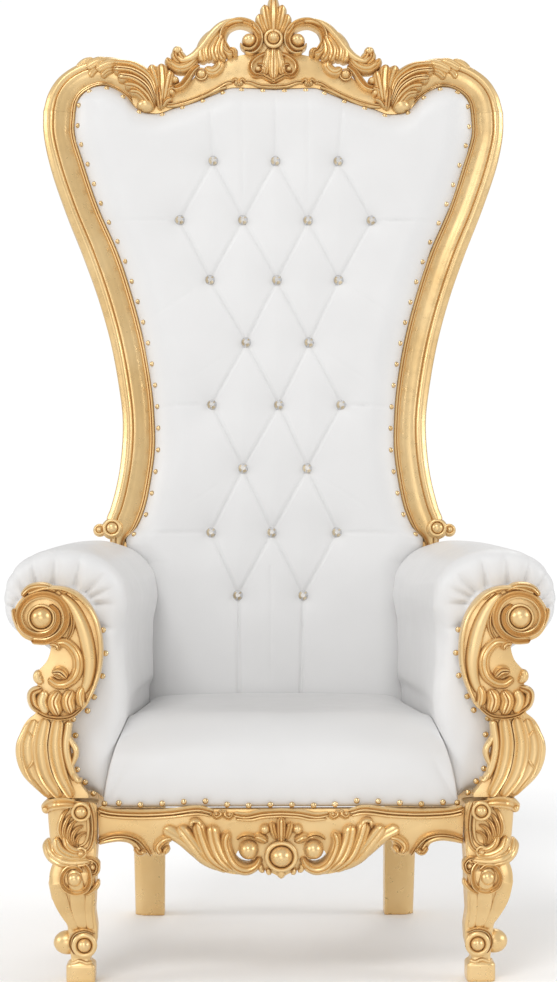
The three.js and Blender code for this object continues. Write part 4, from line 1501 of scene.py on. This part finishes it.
def pinch(piece: Piece, matrix: Matrix, lines: Sequence[Sequence[Vector]], deep: float, wide: float,
          reach: float) -> None:
    """Presses soft folds into a piece along straight lines of its drawing frame.

    Args:
        piece: The piece.
        matrix: From the drawing frame to the row frame.
        lines: The folds, each a start and an end point; the fold is deepest at its start.
        deep: The depth of a fold at its start, in metres.
        wide: The reach of a fold to each side, in metres.
        reach: How far behind the line's start a fold runs, in metres.
    """
    count = len(piece.data.vertices)
    co = np.empty(3 * count)
    piece.data.vertices.foreach_get("co", co)
    co = co.reshape(-1, 3)
    normal = np.empty(3 * count)
    piece.data.vertices.foreach_get("normal", normal)
    normal = normal.reshape(-1, 3)
    push = np.zeros(count)
    for start, end in lines:
        a, b = np.array(matrix @ start), np.array(matrix @ end)
        flat = np.array((1, 0, 1))
        way = (b - a) * flat
        t = np.clip(((co - a) * flat) @ way / (way @ way), 0, 1)
        away = np.linalg.norm((co - a) * flat - t[:, None] * way, axis=1)
        behind = np.clip(1 - (co[:, 1] - a[1]) / reach, 0, 1)
        push = np.maximum(push, (1 - 0.8 * t) * behind * np.exp(-away / wide))
    piece.data.vertices.foreach_set("co", (co - normal * (deep * push)[:, None]).ravel())
    piece.data.update()


@dataclass(frozen=True)
class SeatCushion:
    """The fixed seat: a padded block, wider in front, with a round front edge and a crowned top."""

    front: float = -8
    back: float = 483
    front_half: float = 289.7
    back_half: float = 237
    bottom: float = 286.3
    top: float = 425
    crown: float = 13
    highest: float = 439
    front_edge: float = 105
    front_extra: float = 14
    back_extra: float = 2
    slope: tuple[Point, ...] = ((286, -13), (303, -12), (309, -8), (350, 0), (398, 13), (424, 25), (440, 30))

    def half(self, y: float, z: float) -> float:
        """Finds half of the seat's width.

        Args:
            y: How far back the place is.
            z: Its height.

        Returns:
            Half of the width there.
        """
        t = max(0.0, min(1.0, (y - self.front) / (self.back - self.front)))
        heights, insets = zip(*self.slope)
        inset = float(np.interp(z, heights, insets)) * (1 - t) ** 1.3
        return self.front_half + (self.back_half - self.front_half) * t - inset

    def build(self, finishes: Finishes) -> Piece:
        """Builds, swells and dresses the seat.

        Args:
            finishes: The throne's finishes.

        Returns:
            The piece.
        """
        bm = bmesh.new()
        bmesh.ops.create_cube(bm, size=1)
        for vert in bm.verts:
            front = vert.co.y < 0
            half = self.front_half + self.front_extra if front else self.back_half + self.back_extra
            vert.co.x = math.copysign(half, vert.co.x)
            vert.co.y = self.front + 1 if vert.co.y < 0 else self.back
            vert.co.z = self.top if vert.co.z > 0 else self.bottom
        upper = [e for e in bm.edges if all(v.co.z > self.top - 1 and v.co.y < 0 for v in e.verts)]
        bmesh.ops.bevel(bm, geom=upper, offset=self.front_edge, segments=14, profile=0.5,
                        affect="EDGES", material=-1)
        bmesh.ops.triangulate(bm, faces=bm.faces)
        seat = make("upholstered_seat", bm, front_matrix(), finishes.leather,
                    ["seat_cushion"])
        inflate(seat, CLOTH_VOXEL, CLOTH_CAP)
        self.limit(seat)
        soften(seat, 5)
        subdivide(seat)
        self.crease(seat)
        return seat

    def limit(self, seat: Piece) -> None:
        """Crowns the seat and keeps it flat where it rests on the rails and meets the arms.

        Args:
            seat: The seat.
        """
        shift = front_matrix() @ Vector((0, 0, 0))
        for vert in seat.data.vertices:
            x, y, z = (vert.co - shift) / MM
            t = (y - self.front) / (self.back - self.front)
            across = max(0.0, 1 - (x / self.half(y, z)) ** 2) ** 0.8
            inside = across * min(1.0, max(0.0, t / 0.3)) ** 0.7
            z = max(self.bottom, z)
            z += self.crown * inside * max(0.0, min(1.0, (z - 380) / 40))
            x = max(-self.half(y, z), min(self.half(y, z), x))
            y = max(self.front - 3, min(self.back + 1, y))
            vert.co = shift + Vector((x, y, min(z, self.highest))) * MM

    def crease(self, seat: Piece) -> None:
        """Presses in the pulled folds at the front corners.

        Args:
            seat: The seat.
        """
        front = self.front
        lines = []
        for side in (1, -1):
            lines += [
                (Vector((side * 268, front + 8, 402)), Vector((side * 205, front + 30, 424))),
                (Vector((side * 292, front, 300)), Vector((side * 258, front, 362))),
            ]
        pinch(seat, front_matrix(), lines, 0.004, 0.007, 0.07)


@dataclass(frozen=True)
class ArmPad:
    """A rolled arm: its wall stands on the side rail and its roll overhangs outwards.

    `stations` are the places near the front where the section is drawn in, each with how far. The
    two bulges swell the wall's inner side at its front and at its rear.
    """

    side: str
    bottom: float = 307.4
    front: float = 8
    roll: tuple[float, float] = (368, 641)
    half_width: float = 101
    half_height: float = 80
    length: float = 480
    step_start: float = 297
    lowest: float = 288
    wall_top: float = 460
    stations: tuple[Point, ...] = ((0, 34), (1.5, 24), (5, 14), (11, 7), (20, 2.5), (32, 0))
    bulge: tuple[Point, ...] = (
        (307, 0), (350, 8), (400, 19), (430, 25), (480, 27), (540, 20), (590, 8), (640, 0))
    rear_bulge: tuple[Point, ...] = ((430, 0), (480, 8), (550, 17), (590, 15), (640, 0))
    pleats: tuple[tuple[Point, Point], ...] = (
        ((381, 660), (378, 719)), ((428, 648), (455, 682)), ((326, 646), (296, 677)),
        ((449, 620), (467, 625)), ((309, 625), (282, 626)), ((408, 655), (420, 706)),
        ((345, 657), (336, 708)), ((442, 634), (464, 652)), ((303, 588), (282, 584)),
        ((318, 637), (286, 652)))

    def outline(self) -> np.ndarray:
        """Makes the arm's section.

        Returns:
            The (x, z) points.
        """
        points = [(385, self.bottom), (384, 420), (383, 520), (386, 548)]
        for angle in np.linspace(-0.33, 1.12, 40) * math.pi:
            across, up = (math.copysign(abs(value) ** 0.9, value)
                          for value in (math.cos(angle), math.sin(angle)))
            points.append((self.roll[0] + self.half_width * across, self.roll[1] + self.half_height * up))
        points += [(290, 550), (290, 420), (290, 300), (300, 290), (309, 300), (320, self.bottom)]
        return np.array(points)

    def place(self, x: float, z: float, share: float, shrink: float) -> tuple[float, float, float]:
        """Places a point of the section at a station along the arm.

        Args:
            x: The point's distance from the middle.
            z: Its height.
            share: The station's place between the front, 0, and the back, 1.
            shrink: How far the section is drawn in there.

        Returns:
            The point.
        """
        lean = math.tan(RAKE)
        back_plane = HINGE.y - HINGE.z * lean - PAD_EDGE
        spine = np.array([min(368, 337 + max(0, z - 540) * 0.3), float(np.clip(z, 400, 645))])
        toward = np.array([x, z]) - spine
        size = max(1.0, float(np.linalg.norm(toward)))
        pull = min(shrink * (0.55 if x > spine[0] and z < 640 else 1), 0.8 * size) / size
        px, pz = x - toward[0] * pull, z - toward[1] * pull
        if x < 330:
            px -= float(np.interp(z, *zip(*self.bulge))) * (1 - share) ** 1.3
            px -= float(np.interp(z, *zip(*self.rear_bulge))) * share
        blend = np.clip((z - 430) / 170, 0, 1)
        blend = blend * blend * (3 - 2 * blend)
        splay = 0.11 * (1 - blend) + 0.07 * blend
        py = self.front + share * (back_plane + pz * lean - self.front)
        return px - splay * (py - self.front), py, pz

    def build(self, finishes: Finishes) -> Piece:
        """Builds, swells and dresses one arm.

        Args:
            finishes: The throne's finishes.

        Returns:
            The piece.
        """
        section = [tuple(p) for p in self.outline()]
        outline = smooth([*section, section[0]], steps=130)[:-1]
        stations = [*self.stations, *((y, 0) for y in np.linspace(55, self.length, 30))]
        rows = [[self.place(x, z, y / self.length, shrink) for x, z in outline] for y, shrink in stations]
        bm = bmesh.new()
        wrapped_grid(bm, np.array(rows), closed=True, ends=True)
        arm = make(f"upholstered_arm_{self.side}", bm, front_matrix(), finishes.leather,
                   [f"arm_pad_{self.side}"], flip=SIDES[self.side] < 0)
        inflate(arm, CLOTH_VOXEL, CLOTH_CAP)
        self.limit(arm)
        soften(arm, 4)
        side = SIDES[self.side]
        lines = [(Vector((side * a, self.front + 2, b)), Vector((side * c, self.front + 34, d)))
                 for (a, b), (c, d) in self.pleats]
        subdivide(arm)
        pinch(arm, front_matrix(), lines, 0.012, 0.006, 0.10)
        return arm

    def limit(self, arm: Piece) -> None:
        """Keeps the arm off the seat, the rail and the raked back.

        Args:
            arm: The arm.
        """
        shift = front_matrix() @ Vector((0, 0, 0))
        side = SIDES[self.side]
        lean = math.tan(RAKE)
        seat = SeatCushion()
        for vert in arm.data.vertices:
            x, y, z = (vert.co - shift) / MM
            x *= side
            if z < self.wall_top:
                x = max(x, seat.half(y, z) + PAD_EDGE)
            z = max(z, min(self.bottom, leg_slope(x, self.step_start)), self.lowest)
            y = max(self.front - 2, min(y, HINGE.y - HINGE.z * lean - PAD_EDGE + z * lean))
            vert.co = shift + Vector((x * side, y, z)) * MM


@dataclass(frozen=True)
class BackPanel:
    """The upholstered outside of the back, a little domed. `sides` narrows it between the posts."""

    front: float = 14.3
    back: float = 32
    foot: float = 3
    dome: float = 4.6
    border: float = 40
    sides: Path = ((16, 207), (19, 231), (436, 231), (450, 256), (460, 400))

    def build(self, finishes: Finishes) -> Piece:
        """Builds and dresses the outside back.

        Args:
            finishes: The throne's finishes.

        Returns:
            The piece.
        """
        opening = Opening()
        s = np.linspace(-1, 1, 72)[:, None]
        t = np.linspace(0, 1, 112)[None, :]
        top = opening.top(s * float(opening.side_x.max())) - PAD_EDGE
        z = self.foot + t * (top - self.foot)
        edge = self.foot + t * (float(top[0, 0]) - self.foot)
        narrow = np.interp(edge, *zip(*self.sides))
        half = np.minimum(opening.side(edge), narrow) - PAD_EDGE
        x = s * half
        margin = np.minimum(np.minimum(half - np.abs(x), opening.top(x) - z), z - self.foot)
        margin = np.clip(margin, 0, self.border)
        y = self.back - 5 + self.dome * (1 - (1 - margin / self.border) ** 2)
        bm = bmesh.new()
        wrapped_grid(bm, np.stack([x, y, z], axis=2), closed=False, ends=False)
        rim = [e for e in bm.edges if e.is_boundary]
        sides = bmesh.ops.extrude_edge_only(bm, edges=rim)["geom"]
        for vert in (v for v in sides if isinstance(v, bmesh.types.BMVert)):
            vert.co.y = self.front
        bmesh.ops.holes_fill(bm, edges=[e for e in bm.edges if e.is_boundary], sides=0)
        return make("outside_back", bm, back_matrix(), finishes.leather,
                    ["back_panel"], sharp=60)


# ------------------------------------------------------------------ buttons and nails
@dataclass(frozen=True)
class CrystalButton:
    """A cut crystal on a small bright rim. The rim is the first of its cones, `rim_faces` faces."""

    number: int
    x: float
    z: float
    radius: float = 10.3
    height: float = 8.6
    rim_faces: int = 26

    def build(self, finishes: Finishes) -> Piece:
        """Builds and dresses one button.

        Args:
            finishes: The throne's finishes.

        Returns:
            The piece.
        """
        bm = bmesh.new()
        place = Matrix.Translation((self.x, BUTTON_DEPTH, self.z)) @ Matrix.Rotation(math.pi / 2, 4, "X")
        for low, high, base, tip, segments in (
            (0, 2.4, self.radius, self.radius, 24),
            (1.2, 3.4, self.radius * 0.80, self.radius * 0.86, 12),
            (3.4, self.height, self.radius * 0.86, self.radius * 0.42, 12),
        ):
            matrix = place @ Matrix.Translation((0, 0, (low + high) / 2))
            bmesh.ops.create_cone(bm, cap_ends=True, segments=segments, radius1=base, radius2=tip,
                                  depth=high - low, matrix=matrix)
        stone = make(f"crystal_{self.number:02d}", bm, back_matrix(), finishes.glass,
                     [f"crystal_button_{self.number:02d}"], sharp=12)
        stone.data.materials.append(finishes.silver)
        for face in stone.data.polygons:
            face.material_index = 0
        for face in list(stone.data.polygons)[:self.rim_faces]:
            face.material_index = 1
        return stone


@dataclass(frozen=True)
class Nails:
    """Domed brass nails: along the frame's inner edge, over the apron and round the arm fronts."""

    radius: float = 5.1
    dome: float = 0.75
    pitch: float = 42
    inset: float = 8
    lowest: float = 446
    apron_half: int = 270
    apron_pitch: int = 36
    apron: tuple[Point, ...] = (
        (0, 294), (40, 293), (75, 291), (110, 298), (136, 301), (185, 297), (235, 294), (270, 297))
    arm: Path = (
        (297, 584), (293, 545), (298, 507), (312, 472), (323, 449), (347, 435), (343, 408), (347, 374),
        (340, 351), (327, 330), (313, 311), (297, 296))

    def head(self, bm: BMesh, place: Vector, radius: float) -> None:
        """Adds one nail head.

        Args:
            bm: The mesh that it is added to.
            place: Its middle.
            radius: Its radius.
        """
        turn = Matrix.Rotation(math.pi / 2, 4, "X")
        matrix = Matrix.Translation(place) @ turn @ Matrix.Diagonal((1, 1, self.dome, 1))
        bmesh.ops.create_uvsphere(bm, u_segments=14, v_segments=8, radius=radius, matrix=matrix)

    def back(self, finishes: Finishes) -> Piece:
        """Builds the row along the back frame's inner edge.

        Args:
            finishes: The throne's finishes.

        Returns:
            The piece.
        """
        bm = bmesh.new()
        opening = Opening()
        rim = opening.rim()
        along = np.concatenate([[0], np.cumsum(np.linalg.norm(np.diff(rim, axis=0), axis=1))])
        for distance in np.arange(self.pitch / 2, along[-1], self.pitch):
            x = float(np.interp(distance, along, rim[:, 0]))
            z = float(np.interp(distance, along, rim[:, 1]))
            if z < self.lowest:
                break
            ahead = np.array([np.interp(distance + 2, along, rim[:, i]) for i in (0, 1)])
            step = ahead - (x, z)
            inward = np.array([step[1], -step[0]]) / np.linalg.norm(step)
            x, z = x + self.inset * inward[0], z + self.inset * inward[1]
            depth = float(BackPad().depth(np.array([x]), np.array([z]))[0])
            for side in (1, -1):
                self.head(bm, Vector((side * x, depth, z)), self.radius)
        return make("nails_back", bm, back_matrix(), finishes.brass)

    def front(self, finishes: Finishes) -> Piece:
        """Builds the rows over the apron and round the arm fronts.

        Args:
            finishes: The throne's finishes.

        Returns:
            The piece.
        """
        bm = bmesh.new()
        places, heights = zip(*self.apron)
        for x in range(-self.apron_half, self.apron_half + 1, self.apron_pitch):
            self.head(bm, Vector((x, -10.5, float(np.interp(abs(x), places, heights)))), self.radius)
        for x, z in self.arm:
            last = x < 300 and z < 300
            place = (x - 3, -9.5) if last else (x, 5)
            for side in (1, -1):
                self.head(bm, Vector((side * place[0], place[1], z)), self.radius)
        return make("nails_front", bm, front_matrix(), finishes.brass)


# ------------------------------------------------------------------ studio
@dataclass(frozen=True)
class Studio:
    """Pale floor, soft lights and the camera."""

    camera_x: float = -0.080
    distance: float = 3.780
    height: float = 0.816
    turn: float = -0.02006
    lens: float = 55.33
    ambient: float = 0.60

    def camera(self) -> None:
        """Adds the camera and makes it the scene's."""
        data = bpy.data.cameras.new("camera")
        data.sensor_fit = "VERTICAL"
        data.sensor_height = 24
        data.lens = self.lens
        data.clip_end = 60
        camera = bpy.data.objects.new("camera", data)
        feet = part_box("front_leg_right")[1].y - FOOT_BACK * MM
        camera.location = (self.camera_x, feet - self.distance, self.height)
        camera.rotation_euler = (math.pi / 2, 0, self.turn)
        bpy.context.collection.objects.link(camera)
        bpy.context.scene.camera = camera

    def floor(self) -> None:
        """Adds a plain pale floor."""
        bm = bmesh.new()
        bmesh.ops.create_grid(bm, x_segments=1, y_segments=1, size=14)
        mesh = bpy.data.meshes.new("floor")
        bm.to_mesh(mesh)
        bm.free()
        floor = bpy.data.objects.new("floor", mesh)
        floor.location = (0, 0, -0.0005)
        nodes = Nodes("pale_floor")
        tint = nodes.ramp(nodes.noise(1.5, 2), ((0.3, (0.95, 0.95, 0.95)), (0.7, (0.97, 0.97, 0.97))))
        nodes.link(tint, nodes.shader.inputs["Base Color"])
        nodes.shader.inputs["Roughness"].default_value = 0.9
        mesh.materials.append(nodes.material)
        bpy.context.collection.objects.link(floor)
        floor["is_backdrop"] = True

    def light(self, name: str, azimuth: float, elevation: float, strength: float, spread: float) -> None:
        """Adds one soft distant light.

        Args:
            name: The light's name.
            azimuth: Degrees to the right of the front that it comes from.
            elevation: Degrees above the floor.
            strength: Its strength.
            spread: How wide its disc is, in degrees.
        """
        data = bpy.data.lights.new(name, "SUN")
        data.energy = strength
        data.angle = math.radians(spread)
        lamp = bpy.data.objects.new(name, data)
        lamp.rotation_euler = (math.radians(90 - elevation), 0, math.radians(azimuth))
        bpy.context.collection.objects.link(lamp)

    def build(self) -> None:
        """Builds the whole studio."""
        self.camera()
        self.floor()
        world = bpy.data.worlds.new("studio")
        world.use_nodes = True
        tree = world.node_tree
        tree.nodes["Background"].inputs["Color"].default_value = (1, 1, 1, 1)
        tree.nodes["Background"].inputs["Strength"].default_value = 1.02
        soft = tree.nodes.new("ShaderNodeBackground")
        soft.inputs["Color"].default_value = (1, 1, 1, 1)
        soft.inputs["Strength"].default_value = self.ambient
        seen = tree.nodes.new("ShaderNodeLightPath")
        mix = tree.nodes.new("ShaderNodeMixShader")
        tree.links.new(seen.outputs["Is Camera Ray"], mix.inputs["Fac"])
        tree.links.new(soft.outputs["Background"], mix.inputs[1])
        tree.links.new(tree.nodes["Background"].outputs["Background"], mix.inputs[2])
        tree.links.new(mix.outputs["Shader"], tree.nodes["World Output"].inputs["Surface"])
        bpy.context.scene.world = world
        bpy.context.scene.view_settings.view_transform = "Standard"
        self.light("key", -22, 48, 0.75, 20)
        self.light("fill", -6, 5, 0.56, 36)
        self.light("left", -78, 22, 0.70, 24)
        self.light("right", 78, 22, 0.70, 24)
        self.light("rim", 170, 45, 0.5, 30)


def corners() -> list[list[float]]:
    """Returns the shown object's lowest and highest corner as plain lists."""
    return [[float(value) for value in corner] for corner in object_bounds()]


def main() -> None:
    """Builds the scene."""
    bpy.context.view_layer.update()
    Studio().build()
    finishes = Finishes.build()
    CrestRail().build(finishes)
    for side in SIDES:
        RearPost(side).build(finishes)
        FrontLeg(side).build(finishes)
        ArmFront(side).build(finishes)
        Rails().side(side, finishes)
        ArmPad(side).build(finishes)
    Rails().rear(finishes)
    FrontApron().build(finishes)
    SeatCushion().build(finishes)
    BackPad().build(finishes)
    BackPanel().build(finishes)
    for number, (x, z) in enumerate(BackPad().buttons(), start=1):
        CrystalButton(number, x, z).build(finishes)
    nails = Nails()
    nails.back(finishes)
    nails.front(finishes)


if __name__ == "__main__":
    main()
